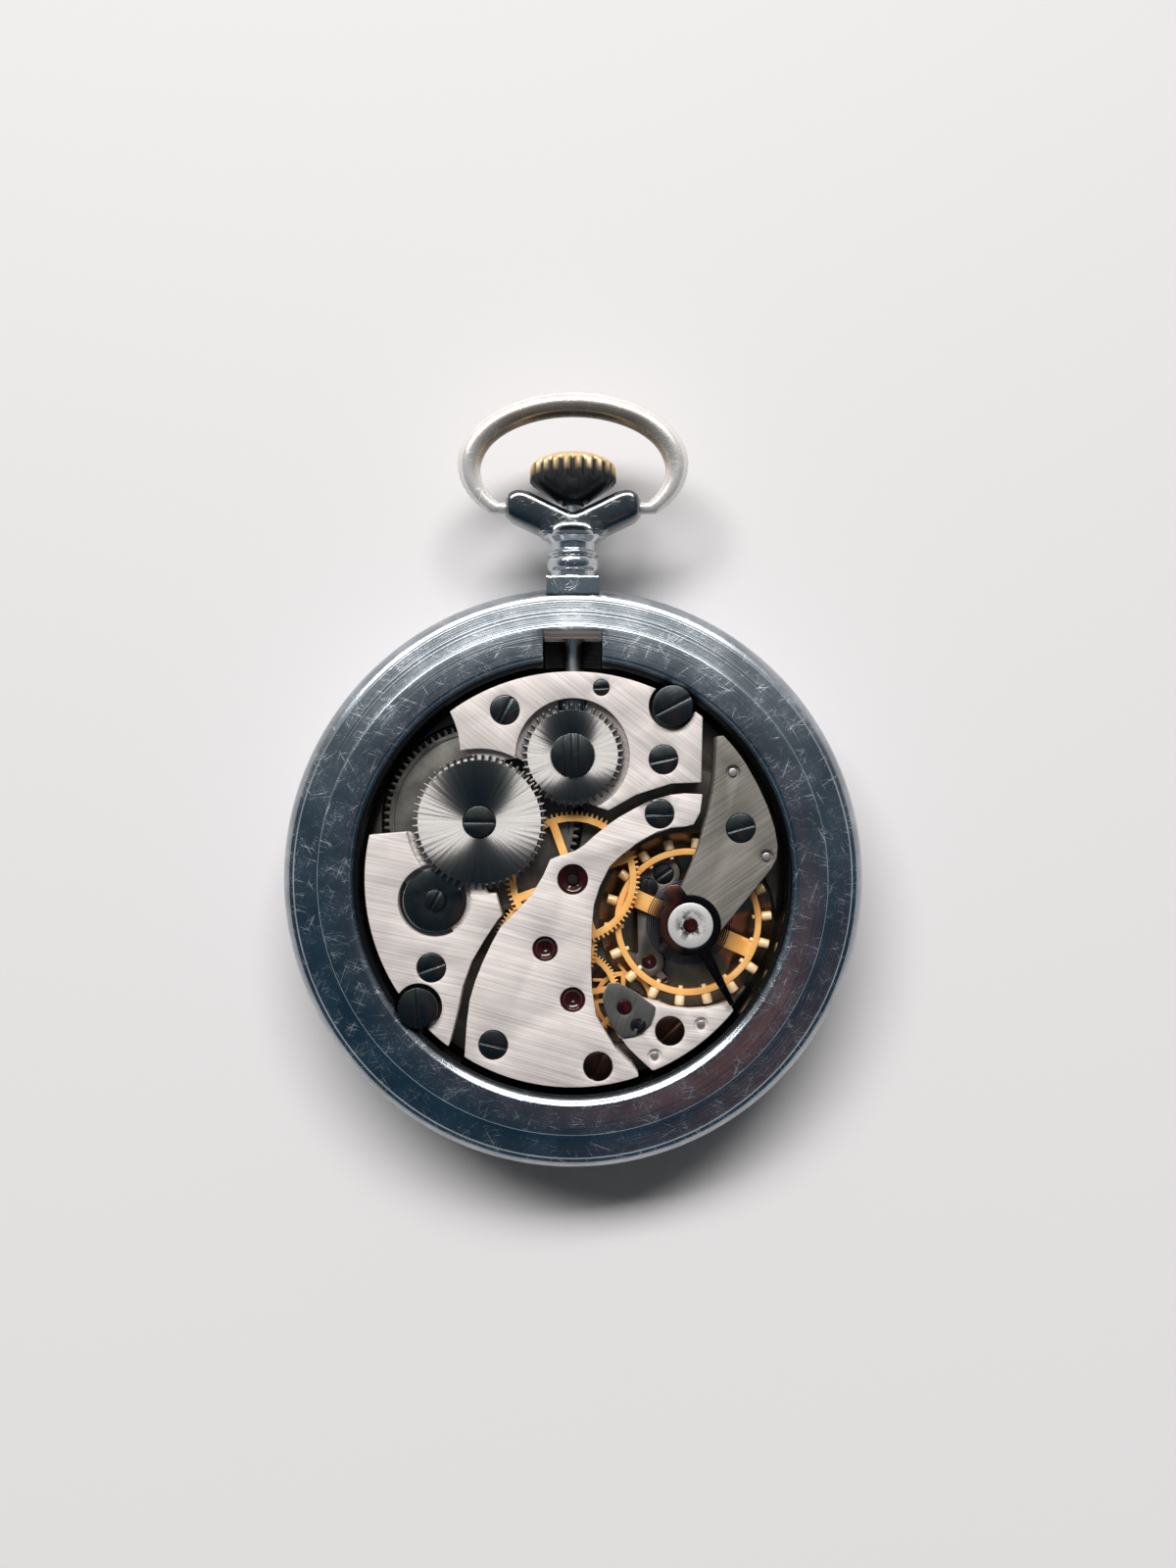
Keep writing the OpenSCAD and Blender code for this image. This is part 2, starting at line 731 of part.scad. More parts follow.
module main_plate() {
  color("Silver")
  difference() {
    union() {
      disc(plate_r, plate_z0, plate_z1);
      disc(plate_flange_r, plate_z0, plate_z0 + plate_flange_h);
    }
    at(barrel_at) {
      disc(barrel_tip_r + 0.25, barrel_recess_z, far);
      disc(arbor_r + run_gap, plate_z0 + 0.5, far);
    }
    at(balance_at) {
      disc(balance_recess_r, balance_recess_z, far);
      disc(small_jewel_r + seat_gap, plate_z0 + 0.3, far);
    }
    at(escape_at) {
      disc(escape_r + 0.35, escape_recess_z, far);
      disc(small_jewel_r + seat_gap, plate_z0 + 1, far);
    }
    at(pallet_at)
      disc(small_jewel_r + seat_gap, plate_z0 + 0.4, far);
    at(pallet_at)
      disc(pallet_recess_r, balance_recess_z, far);
    for (p = [third_at, fourth_at])
      at(p)
        disc(train_jewel_r + seat_gap, plate_z0 + 1, far);
    at(fourth_at)
      disc(pivot_r + 0.2, 0, far);
    disc(centre_arbor_r + run_gap, 0, far);
    disc(hour_m * (hour_n / 2 + 1) + 0.3, -1, dial_recess_z);
    at(minute_at) {
      disc(cannon_m * (minute_n / 2 + 1) + 0.3, -1, dial_recess_z);
      disc(minute_stud_r + seat_gap, -1, dial_recess_z + minute_stud_h);
    }
    at(setting_at) {
      disc(cannon_m * (setting_n / 2 + 1) + 0.25, -1, dial_recess_z);
      disc(minute_stud_r + seat_gap, -1, dial_recess_z + minute_stud_h);
    }
    stem_pockets();
    slab(-1, keyless_z1 + 0.08) {
      bar(yoke_at, yoke_tip, yoke_w + 0.5);
      bar(yoke_at, yoke_at + turned(yoke_tip - yoke_at, -yoke_swing), yoke_w + 0.5);
      bar(setting_screw_at, [0, lever_groove_y + 0.3], lever_w + 0.7);
      bar(setting_screw_at, [0.4, lever_groove_y + 1.2], lever_w + 0.7);
    }
    translate([-0.75, clutch_y0 - clutch_travel - 0.25, -1])
      cube([1.5, clutch_y1 - clutch_y0 + clutch_travel, stem_z]);
    translate([-0.6, lever_groove_y - 0.6, -1])
      cube([1.6, far, stem_z + 1]);
    at(yoke_at)
      disc(yoke_pin_r + run_gap, -1, yoke_pin_z1 + 0.1);
    at(setting_screw_at)
      disc(small_shank_r + seat_gap, -1, far);
    for (p = bridge_screw_list)
      at(p)
        disc(screw_shank_r + seat_gap, screw_end_z - 0.1, far);
    for (p = case_screw_list)
      at(p)
        disc(case_screw_shank_r + seat_gap, case_screw_z - case_screw_l + screw_head_h - 0.1, far);
    for (p = dowel_list)
      at(p)
        disc(dowel_r + seat_gap, dowel_end_z - 0.1, far);
    for (s = dial_feet)
      at(s)
        disc(dial_foot_r + seat_gap, -1, plate_z0 + dial_foot_h + 0.1);
    for (p = pallet_screw_list)
      at(p)
        disc(small_shank_r + seat_gap, pallet_screw_z - 0.1, far);
  }
}

// Barrel bridge: holds the barrel, the ratchet wheel, the crown wheel and the click
barrel_bridge_upper = [
  [-10.54, 14.45], [-10.9, 18], [0, 24], [11.1, 20], [11.09, 13.95], [10.97, 8.27], [8.42, 8.19],
  [5.41, 7.23], [3.05, 5.88], [1.65, 6.35], [-1, 8.2], [-4.74, 10.36], [-7.5, 10], [-9.58, 10.98],
  [-9.79, 12.53], [-10.12, 13.53]
];
barrel_bridge_lower = [
  [-20, 3.59], [-14.13, 4.09], [-10, 3], [-8, 0], [-7.2, -1.2], [-6.53, -1.17], [-6.03, -3.09],
  [-6.37, -3.43], [-7.54, -5.18], [-8.62, -7.02], [-9.37, -9.11], [-9.79, -11.19], [-10.13, -12.61],
  [-10.54, -14.12], [-14, -20], [-22, -12]
];
barrel_floor_r = ratchet_tip_r - 0.35;
arbor_r = 1.1;
crown_hub_r = 1.45;

module barrel_bridge_plan() {
  intersection() {
    circle(bridge_r);
    union() {
      polygon(barrel_bridge_upper);
      polygon(barrel_bridge_lower);
    }
  }
}

module barrel_bridge() {
  color("Silver")
  difference() {
    union() {
      slab(bridge_z0, barrel_bridge_z1)
        barrel_bridge_plan();
      at(barrel_at)
        disc(barrel_floor_r, bridge_z0, ratchet_floor_z);
      at(crown_wheel_at)
        disc(crown_wheel_tip_r - 0.2, bridge_z0, crown_wheel_floor_z);
      slab(plate_z1, bridge_z0 + tiny)
        difference() {
          barrel_bridge_plan();
          translate(barrel_at)
            circle(barrel_tip_r + 0.35);
          translate([-far, -far / 2])
            square([2 * far, far / 2 + 8.4]);
        }
      slab(plate_z1, bridge_z0 + tiny)
        difference() {
          barrel_bridge_plan();
          translate(barrel_at)
            circle(barrel_tip_r + 0.35);
          translate([-far, -3.2])
            square([2 * far, far]);
        }
    }
    at(barrel_at) {
      disc(ratchet_recess_r, ratchet_floor_z, far);
      disc(arbor_r + run_gap, 0, far);
    }
    at(crown_wheel_at)
      difference() {
        disc(crown_recess_r, crown_wheel_floor_z, far);
        disc(crown_hub_r, 0, crown_wheel_z + crown_wheel_body_h + 0.05);
      }
    at(crown_wheel_at)
      disc(screw_shank_r + seat_gap, 0, far);
    at(click_at) {
      disc(click_recess_r, click_z - 0.04, far);
      disc(click_pin_r + seat_gap, 0, far);
    }
    stem_pockets();
    for (i = [0 : 2])
      at(bridge_screw_list[i]) {
        disc(screw_shank_r + seat_gap, 0, far);
        disc(screw_head_r + 0.05, barrel_bridge_z1 - screw_head_h, far);
      }
    for (p = case_screw_list)
      at(p)
        disc(case_screw_cut_r, 0, far);
    at(setting_screw_at) {
      disc(small_shank_r + seat_gap, 0, far);
      disc(small_screw_r + 0.05, barrel_bridge_z1 - screw_head_h, far);
    }
  }
}

// Train bridge: carries the centre, third and fourth wheels
train_bridge_outline = [
  [-1.94, 1.67], [-2.52, 0.33], [-3.53, -1.34], [-4.61, -2.51], [-6.12, -4.01], [-6.95, -5.51],
  [-7.7, -7.1], [-8.29, -8.6], [-8.79, -10.28], [-9.04, -12.2], [-9.24, -15.2], [-9.3, -20],
  [6.2, -20], [5.58, -16.54], [5.08, -15.87], [3.66, -14.45], [2.74, -12.95], [1.99, -11.61],
  [1.65, -9.36], [1.57, -7.27], [1.65, -4.01], [1.82, -2.17], [2.32, -0.58], [3.16, 1.09],
  [3.91, 1.84], [5.41, 3.01], [6.92, 3.84], [8.42, 4.39], [9.59, 4.51], [10.34, 4.68],
  [10.89, 5.76], [11.09, 7.27], [9.59, 7.35], [8.42, 7.22], [6.92, 6.77], [5.41, 6.1],
  [3.91, 5.26], [3.07, 4.68], [1.82, 3.68], [0.99, 2.92], [0.23, 2.42], [-1.1, 2.01]
];
fourth_tip_r = fourth_m * (fourth_n / 2 + wheel_add);
train_foot_y = fourth_at[1] - fourth_tip_r - 0.3;

module train_bridge_plan() {
  intersection() {
    circle(bridge_r);
    polygon(train_bridge_outline);
  }
}

module train_bridge() {
  color("Silver")
  difference() {
    union() {
      slab(bridge_z0, train_bridge_z1)
        train_bridge_plan();
      slab(plate_z1, bridge_z0 + tiny)
        intersection() {
          train_bridge_plan();
          union() {
            translate([-far, -far + train_foot_y])
              square([2 * far, far]);
            for (i = [3, 4])
              translate([bridge_screw_list[i][0], bridge_screw_list[i][1]])
                circle(1.55);
          }
        }
    }
    disc(centre_jewel_r + seat_gap, 0, far);
    for (p = [third_at, fourth_at])
      at(p)
        disc(train_jewel_r + seat_gap, 0, far);
    for (i = [3 : 5])
      at(bridge_screw_list[i]) {
        disc(screw_shank_r + seat_gap, 0, far);
        disc(screw_head_r + 0.05, train_bridge_z1 - screw_head_h, far);
      }
  }
}

// Escape bridge: small plate at the lower right with an arm over the escape wheel
escape_bridge_outline = [
  [7.25, -10.49], [8.42, -10.94], [9.92, -11.11], [11.43, -11.03], [12.93, -10.69], [13.52, -10.78],
  [13.85, -11.45], [15, -14], [10, -22], [7.25, -16.37], [6.75, -16.29], [5.41, -15.04],
  [4.66, -14.29], [4.24, -13.7], [3.49, -12.78], [2.91, -11.61], [2.57, -10.44], [2.74, -9.52],
  [3.07, -9], [3.91, -9], [5, -9.5], [6, -10.2]
];

module escape_bridge_plan() {
  intersection() {
    circle(bridge_r);
    polygon(escape_bridge_outline);
  }
}

module escape_bridge() {
  color("Silver")
  difference() {
    union() {
      slab(bridge_z0, escape_bridge_z1)
        escape_bridge_plan();
      slab(plate_z1, bridge_z0 + tiny)
        difference() {
          escape_bridge_plan();
          translate(balance_at)
            circle(balance_recess_r + 0.1);
          translate(escape_at)
            circle(escape_r + 0.4);
        }
    }
    at(escape_at)
      disc(small_jewel_r + seat_gap, 0, far);
    at(bridge_screw_list[7]) {
      disc(screw_shank_r + seat_gap, 0, far);
      disc(screw_head_r + 0.05, escape_bridge_z1 - screw_head_h, far);
    }
    at(endstone_screw_at)
      disc(small_shank_r + seat_gap, escape_bridge_z1 - 0.7, far);
    for (i = [2, 3])
      at(dowel_list[i]) {
        disc(dowel_r + seat_gap, 0, far);
        disc(dowel_r + 0.25, escape_bridge_z1 - 0.3, far);
      }
  }
}

// Pallet bridge: flat arm under the balance, on one foot that two screws hold
pallet_along = heading(pallet_at, balance_at);
pallet_reach = norm(balance_at - pallet_at);
pallet_screw_list = [[7.92, 0.25, 35], [6.52, -1, 80]];
pallet_screw_r = 0.85;
pallet_screw_h = 0.25;
pallet_screw_z = balance_recess_z - 0.5;
pallet_foot_w = 2.9;
pallet_arm_w = 1.9;
pallet_recess_r = 3;
pallet_bridge_z1 = pallet_bridge_z + pallet_bridge_h;

module pallet_bridge() {
  color("Silver")
  difference() {
    union() {
      slab(pallet_bridge_z, pallet_bridge_z1) {
        bar(pallet_at, pallet_screw_list[1], pallet_arm_w);
        translate(pallet_at)
          circle(1.3);
      }
      slab(balance_recess_z, pallet_bridge_z1)
        bar(pallet_screw_list[0], pallet_screw_list[1], pallet_foot_w);
    }
    at(pallet_at)
      disc(small_jewel_r + seat_gap, 0, far);
    for (p = pallet_screw_list)
      at(p) {
        disc(small_shank_r + seat_gap, 0, far);
        disc(pallet_screw_r + 0.05, pallet_bridge_z1 - pallet_screw_h - seat_gap, far);
      }
  }
}

// Balance cock: arm from the plate's edge to the balance's upper pivot
cock_outline = [
  [12.26, 12.2], [12.22, 11.11], [12.1, 8.86], [11.85, 7.18], [11.55, 5.76], [11.09, 4.26],
  [10.68, 2.76], [9.92, 0.92], [9.01, -1.17], [8.3, -2.9], [10, -3.84], [11.6, -5.1], [12.6, -4.34],
  [16.94, 1], [17.36, 1.84], [17.44, 2.92], [17.19, 4.39], [16.61, 6.18], [15.73, 8.1],
  [14.69, 9.94], [13.77, 11.28], [12.93, 12.28]
];
cock_end_r = 1.95;

module cock_plan() {
  intersection() {
    circle(bridge_r);
    union() {
      polygon(cock_outline);
      translate(balance_at)
        circle(cock_end_r);
    }
  }
}

module balance_cock() {
  color("DimGray")
  difference() {
    union() {
      slab(cock_z0, cock_z1)
        cock_plan();
      slab(plate_z1, cock_z0 + tiny)
        difference() {
          cock_plan();
          translate(balance_at)
            circle(balance_recess_r + 0.1);
        }
    }
    at(balance_at)
      disc(small_jewel_r + seat_gap, 0, far);
    at(bridge_screw_list[6]) {
      disc(screw_shank_r + seat_gap, 0, far);
      disc(screw_head_r + 0.05, cock_z1 - screw_head_h, far);
    }
    for (i = [0, 1])
      at(dowel_list[i]) {
        disc(dowel_r + seat_gap, 0, far);
        disc(dowel_r + 0.25, cock_z1 - 0.3, far);
      }
    at(stud_at)
      disc(stud_r + seat_gap, 0, cock_z0 + 0.4);
  }
}

// Bridge screws: eight alike, each sunk in its bridge
screw_end_z = plate_z0 + 0.9;

module bridge_screws() {
  color("#202428")
    for (p = bridge_screw_list)
      at(p) {
        slotted_head(screw_head_r, screw_head_h - seat_gap, p[2], p[3]);
        disc(screw_shank_r, screw_end_z, p[2] - screw_head_h + 0.1);
      }
}

// Small screws: one pivots the setting lever, one holds the endstone plate, two the pallet bridge
small_shank_r = 0.33;

module small_screws() {
  color("#202428") {
    at(setting_screw_at) {
      slotted_head(small_screw_r, screw_head_h - seat_gap, barrel_bridge_z1, 3);
      disc(small_shank_r, plate_z0 + 0.05, barrel_bridge_z1 - screw_head_h + 0.1);
    }
    at(endstone_screw_at) {
      slotted_head(small_screw_r, 0.2, escape_bridge_z1 + endstone_h + 0.2, 60);
      disc(small_shank_r, escape_bridge_z1 - 0.6, escape_bridge_z1 + endstone_h + 0.05);
    }
    for (p = pallet_screw_list)
      at(p) {
        slotted_head(pallet_screw_r, pallet_screw_h, pallet_bridge_z1, p[2]);
        disc(small_shank_r, pallet_screw_z, pallet_bridge_z1 - pallet_screw_h + 0.02);
      }
  }
}

// Dowel pins: locate the balance cock and the escape bridge on the main plate
dowel_end_z = plate_z1 - 1;

module dowel_pins() {
  color("Gainsboro")
    for (p = dowel_list)
      at(p)
        disc(dowel_r, dowel_end_z, p[2] - 0.1);
}

// Jewels of the train: dished rubies in the bridge and plain ones in the main plate
jewel_sink = 0.35;

module dished_jewel(r, hole, z0, z1) {
  rotate_extrude()
    polygon([
      [hole, z0],
      [r, z0],
      [r, z1],
      [r - 0.2, z1],
      [r * 0.62, z1 - 0.5 * jewel_sink],
      [hole, z1 - jewel_sink]
    ]);
}

module plain_jewel(r, hole, z0, z1) {
  difference() {
    disc(r, z0, z1);
    disc(hole, z0 - 1, z1 + 1);
  }
}

module train_jewels() {
  jewel_top = train_bridge_z1 - 0.25;
  color("DarkRed") {
    dished_jewel(centre_jewel_r, centre_pivot_r + run_gap, bridge_z0, jewel_top);
    for (p = [third_at, fourth_at])
      at(p) {
        dished_jewel(train_jewel_r, pivot_r + run_gap, bridge_z0, jewel_top);
        plain_jewel(train_jewel_r, pivot_r + run_gap, plate_z0 + 1.02, plate_z1 - 0.1);
      }
  }
}

// Jewels of the escapement: pivots of the escape wheel, fork and balance with their endstones
module escapement_jewels() {
  hole = pivot_r + run_gap;
  color("DarkRed") {
    at(escape_at) {
      plain_jewel(small_jewel_r, hole, bridge_z0, escape_bridge_z1 - 0.1);
      disc(small_jewel_r, escape_bridge_z1 - 0.1, escape_bridge_z1 + endstone_h - 0.05);
      plain_jewel(small_jewel_r, hole, plate_z0 + 1.02, escape_recess_z - 0.1);
    }
    at(pallet_at) {
      plain_jewel(small_jewel_r, hole, pallet_bridge_z + 0.02, pallet_bridge_z1);
      plain_jewel(small_jewel_r, hole, plate_z0 + 0.42, balance_recess_z);
    }
    at(balance_at) {
      plain_jewel(small_jewel_r, hole, cock_z0, cock_z1 - 0.1);
      disc(small_jewel_r, cock_z1 - 0.1, cock_z1 + setting_disc_h - 0.03);
      plain_jewel(small_jewel_r, hole, plate_z0 + 0.32, balance_recess_z);
    }
  }
}

// Escape endstone plate: dark steel plate over the escape wheel's upper pivot
endstone_outline = [
  [3.07, -8.86], [3.91, -8.86], [5, -9.36], [6, -10.11], [7.08, -10.86], [7, -11.45], [6.67, -12.36],
  [6, -13.03], [5.29, -13.37], [4.24, -13.53], [3.49, -12.78], [2.91, -11.61], [2.57, -10.44],
  [2.74, -9.52]
];

module escape_endstone_plate() {
  color("DimGray")
  difference() {
    slab(escape_bridge_z1, escape_bridge_z1 + endstone_h)
      polygon(endstone_outline);
    at(escape_at)
      disc(small_jewel_r + seat_gap, 0, far);
    at(endstone_screw_at)
      disc(small_shank_r + seat_gap, 0, far);
  }
}

// Balance jewel setting: silver disc on the cock that holds the balance's endstone
module balance_jewel_setting() {
  color("Gainsboro")
    at(balance_at)
      difference() {
        disc(setting_disc_r, cock_z1, cock_z1 + setting_disc_h);
        disc(small_jewel_r + seat_gap, 0, far);
      }
}

// Regulator: sprung ring round the setting with a long tail
regulator_r = 2.6;
regulator_angle = -62.3;
regulator_ear = 3.5;

module regulator() {
  z0 = cock_z1 + 0.03;
  z1 = z0 + 0.2;
  color("#303030")
    at(balance_at)
      rotate(regulator_angle)
        difference() {
          union() {
            disc(regulator_r, z0, z1);
            slab(z0, z1)
              polygon([
                [1, -0.75], [regulator_r + 0.6, -0.5], [regulator_tail, -0.22],
                [regulator_tail, 0.22], [regulator_r + 0.6, 0.5], [1, 0.75]
              ]);
            slab(z0, z1)
              polygon([
                [-1, -1.2], [-regulator_ear, -0.75], [-regulator_ear - 0.4, 0],
                [-regulator_ear, 0.75], [-1, 1.2]
              ]);
          }
          disc(setting_disc_r + run_gap, 0, far);
        }
}

// Ratchet wheel: steel wheel squared on the barrel arbor
ratchet_toward = heading(barrel_at, crown_wheel_at);
square_w = 1.5;

module ratchet_wheel() {
  color("Gainsboro")
    at(barrel_at)
      difference() {
        slab(ratchet_z, ratchet_z + ratchet_h)
          polygon(gear(ratchet_n, wind_m, wheel_share, wind_add, wind_ded, ratchet_toward, tip_share));
        translate([0, 0, ratchet_z + ratchet_h / 2])
          cube([square_w + 2 * seat_gap, square_w + 2 * seat_gap, 2 * ratchet_h], center = true);
        disc(ratchet_screw_r + 0.08, ratchet_z + ratchet_h - 0.25, far);
      }
}

// Ratchet screw: holds the ratchet wheel on the arbor
ratchet_screw_r = 1.34;

module ratchet_screw() {
  color("#202428")
    at(barrel_at)
      slotted_head(ratchet_screw_r, 0.4, ratchet_z + ratchet_h + 0.17, 0);
}

// Crown wheel: turns on a hub of the barrel bridge and drives the ratchet wheel
crown_wheel_body_h = ratchet_z + ratchet_h - crown_wheel_z;
crown_pitch_a = 360 / crown_wheel_n;
crown_first = ratchet_toward + 180 + crown_pitch_a / 2;

module crown_wheel() {
  color("Gainsboro")
    at(crown_wheel_at)
      difference() {
        slab(crown_wheel_z, crown_wheel_z + crown_wheel_body_h)
          polygon(gear(crown_wheel_n, wind_m, wheel_share, wind_add, wind_ded,
            crown_first, tip_share));
        disc(crown_hub_r + run_gap, 0, far);
      }
}

// Crown wheel screw: wide head with three slots over the crown wheel's hub
crown_screw_r = 1.85;
crown_screw_h = 0.3;
crown_slot_step = 0.62;

module crown_wheel_screw() {
  z0 = crown_wheel_z + crown_wheel_body_h + 0.05;
  color("#202428")
    at(crown_wheel_at) {
      difference() {
        disc(crown_screw_r, z0, z0 + crown_screw_h);
        for (i = [-1 : 1])
          translate([i * crown_slot_step - slot_w / 2, -crown_screw_r - 1, z0 + crown_screw_h - slot_d])
            cube([slot_w, 2 * crown_screw_r + 2, 1]);
      }
      disc(screw_shank_r, bridge_z0 + 0.05, z0 + tiny);
    }
}

// Click: round steel pawl with a nose beside the ratchet wheel
click_pin_r = 0.45;
click_nose_turn = 14;
click_nose_a = heading(barrel_at, click_at) + click_nose_turn;
click_nose_r = 0.2;

module click() {
  nose = barrel_at + polar(ratchet_tip_r + click_nose_r + 0.06, click_nose_a);
  color("#303030")
  difference() {
    union() {
      at(click_at)
        disc(click_r, click_z, click_z + click_h);
      at(nose)
        disc(click_nose_r, click_z, ratchet_z + 0.5);
    }
    at(click_at)
      disc(click_pin_r + run_gap, 0, far);
  }
}

// Click screw: the click's pivot
module click_screw() {
  color("#202428")
    at(click_at) {
      slotted_head(0.9, 0.3, click_z + click_h + 0.34, 60);
      disc(click_pin_r, bridge_z0 + 0.05, click_z + click_h + 0.05);
    }
}

// Click spring: bent wire in the click's pocket
module click_spring() {
  color("#404040")
    at(click_at)
      translate([0, 0, click_z])
        rotate([0, 0, 150])
          rotate_extrude(angle = 150)
            translate([click_recess_r - 0.28, 0])
              square([0.22, 0.25]);
}

// Winding pinion: turns with the stem and drives the crown wheel
dog_n = 6;
dog_h = 0.3;

module dogs(n, r0, r1, w, z0, z1) {
  for (i = [0 : n - 1])
    rotate(i * 360 / n)
      translate([r0, -w / 2, z0])
        cube([r1 - r0, w, z1 - z0]);
}

// Angle of the crown wheel's nearest tooth from the stem, and the pinion's gap that takes it
crown_off = crown_first + round((90 - crown_first) / crown_pitch_a) * crown_pitch_a - 90;
winding_gap_a = -90 - crown_off * crown_wheel_n / winding_n;

module winding_pinion() {
  tip_m = winding_tip_r / (winding_n / 2 + 0.8);
  color("DimGray")
    on_stem()
      difference() {
        slab(winding_y0, winding_y0 + winding_l)
          polygon(gear(winding_n, tip_m, 0.3, 0.8, 1.2, winding_gap_a + 180 / winding_n, 0.5));
        disc(stem_r + run_gap, 0, far);
        dogs(dog_n, stem_r, clutch_r + 0.1, 0.5, winding_y0 - 1, winding_y0 + dog_h);
      }
}

// Sliding pinion: slides on the stem between winding and setting
clutch_groove_y = 12.1;

module sliding_pinion() {
  color("DimGray")
    on_stem()
      difference() {
        union() {
          rotate_extrude()
            polygon([
              [stem_r + run_gap, clutch_y0],
              [clutch_r, clutch_y0],
              [clutch_r, clutch_groove_y - 0.4],
              [clutch_r - 0.45, clutch_groove_y - 0.4],
              [clutch_r - 0.45, clutch_groove_y + 0.4],
              [clutch_r, clutch_groove_y + 0.4],
              [clutch_r, clutch_y1],
              [stem_r + run_gap, clutch_y1]
            ]);
          dogs(dog_n, stem_r + 0.2, clutch_r - 0.05, 0.34, clutch_y1 - 0.1, winding_y0 + dog_h - 0.08);
        }
        dogs(dog_n, stem_r, far, 0.3, clutch_y0 - 1, clutch_y0 + 0.25);
      }
}

// Setting lever: plate behind the dial whose pin sits in the stem's groove
lever_w = 1.5;
lever_pin_r = 0.2;

module setting_lever() {
  color("DarkGray")
  difference() {
    union() {
      slab(plate_z0 + 0.06, keyless_z1)
        bar(setting_screw_at, [0, lever_groove_y], lever_w);
      at([0, lever_groove_y])
        disc(lever_pin_r, plate_z0 + 0.1, stem_z - stem_r + 0.22);
    }
    at(setting_screw_at)
      disc(small_shank_r + run_gap, 0, far);
  }
}

// Yoke: lever behind the dial whose pin slides the sliding pinion
yoke_at = [-4.2, clutch_groove_y];
yoke_tip = [0, clutch_groove_y];
yoke_w = 1.2;
yoke_pin_r = 0.4;
yoke_pin_z1 = plate_z0 + 0.95;
yoke_swing = asin(clutch_travel / norm(yoke_tip - yoke_at));

module yoke() {
  color("DarkGray") {
    slab(plate_z0 + 0.06, keyless_z1)
      bar(yoke_at, yoke_tip, yoke_w);
    at(yoke_at)
      disc(yoke_pin_r, plate_z0 + 0.06, yoke_pin_z1);
    at(yoke_tip)
      disc(0.25, plate_z0 + 0.1, stem_z - clutch_r + 0.3);
  }
}

// Barrel drum: toothed brass box for the mainspring
drum_r = barrel_m * (barrel_n / 2 - wheel_ded);
drum_wall = 0.45;
drum_floor = 0.3;
cover_h = 0.3;

module barrel_drum() {
  color("Goldenrod")
    at(barrel_at)
      difference() {
        union() {
          disc(drum_r, barrel_z0, barrel_z0 + barrel_h);
          slab(barrel_teeth_z, barrel_teeth_z + barrel_teeth_h)
            polygon(gear(barrel_n, barrel_m, wheel_share, wheel_add, wheel_ded,
              heading(barrel_at, [0, 0]), tip_share));
        }
        disc(drum_r - drum_wall, barrel_z0 + drum_floor, far);
        disc(arbor_r + run_gap, 0, far);
      }
}

// Barrel cover: snap-in lid of the drum
module barrel_cover() {
  color("Silver")
    at(barrel_at)
      difference() {
        disc(drum_r - drum_wall - seat_gap, barrel_z0 + barrel_h - cover_h, barrel_z0 + barrel_h);
        disc(arbor_r + run_gap, 0, far);
      }
}

// Barrel arbor: shaft that the ratchet wheel winds
hub_r = 2;

module barrel_arbor() {
  color("DarkGray")
    at(barrel_at) {
      disc(arbor_r, plate_z0 + 0.55, ratchet_floor_z);
      disc(hub_r, barrel_z0 + drum_floor + 0.08, barrel_z0 + barrel_h - cover_h - 0.08);
      translate([-square_w / 2, -square_w / 2, ratchet_floor_z - tiny])
        cube([square_w, square_w, ratchet_z + ratchet_h - 0.26 - ratchet_floor_z]);
    }
}

// Mainspring: flat spiral strip in the drum, from the wall to the arbor
spring_pitch = 0.6;
spring_t = 0.15;

module mainspring() {
  r1 = drum_r - drum_wall - 0.06;
  color("SteelBlue")
    at(barrel_at)
      spiral_strip(r1, spring_pitch, spiral_turns(hub_r + spring_t + 0.1, r1, spring_pitch), 0, spring_t,
        barrel_z0 + drum_floor + 0.08, barrel_z0 + barrel_h - cover_h - 0.08, "mainspring");
}

// Centre wheel and its pinion, whose arbor also carries the cannon pinion
centre_pivot_r = 0.45;
hub_seat_r = 0.9;

module centre_wheel() {
  color("Goldenrod")
    armed_wheel(centre_n, centre_m, heading([0, 0], third_at), centre_wheel_z, centre_wheel_h,
      hub_seat_r + seat_gap, 1.5, 0.55, 4, 0.7, 20);
}

module centre_pinion() {
  color("DarkGray") {
    leaves(pinion_n, barrel_m, heading([0, 0], barrel_at), plate_z1 + 0.1, centre_wheel_z - 0.05, 0);
    disc(hub_seat_r, centre_wheel_z - 0.05 - tiny, centre_wheel_z + centre_wheel_h);
    disc(centre_arbor_r, plate_z0 + 0.65, bridge_z0 - 0.06);
    disc(centre_pivot_r, cannon_z0 + 0.1, train_bridge_z1 - 0.4);
  }
}

// Third wheel and pinion
module third_wheel() {
  color("Goldenrod")
    at(third_at)
      armed_wheel(third_n, third_m, heading(third_at, fourth_at), third_wheel_z, third_wheel_h,
        hub_seat_r * 0.6 + seat_gap, 1, 0.45, 4, 0.55, 35);
}

module third_pinion() {
  color("DarkGray")
    at(third_at) {
      leaves(pinion_n, centre_m, heading(third_at, [0, 0]), third_wheel_z + third_wheel_h + 0.02,
        bridge_z0 - 0.1, 0);
      disc(hub_seat_r * 0.6, third_wheel_z, third_wheel_z + third_wheel_h);
      disc(0.3, plate_z1, bridge_z0 - 0.06);
      disc(pivot_r, plate_z1 - 0.9, train_bridge_z1 - 0.65);
    }
}

// Fourth wheel and pinion, whose long pivot carries the seconds hand
module fourth_wheel() {
  color("Goldenrod")
    at(fourth_at)
      armed_wheel(fourth_n, fourth_m, heading(fourth_at, escape_at), fourth_wheel_z, fourth_wheel_h,
        hub_seat_r * 0.6 + seat_gap, 1, 0.45, 4, 0.5, 10);
}

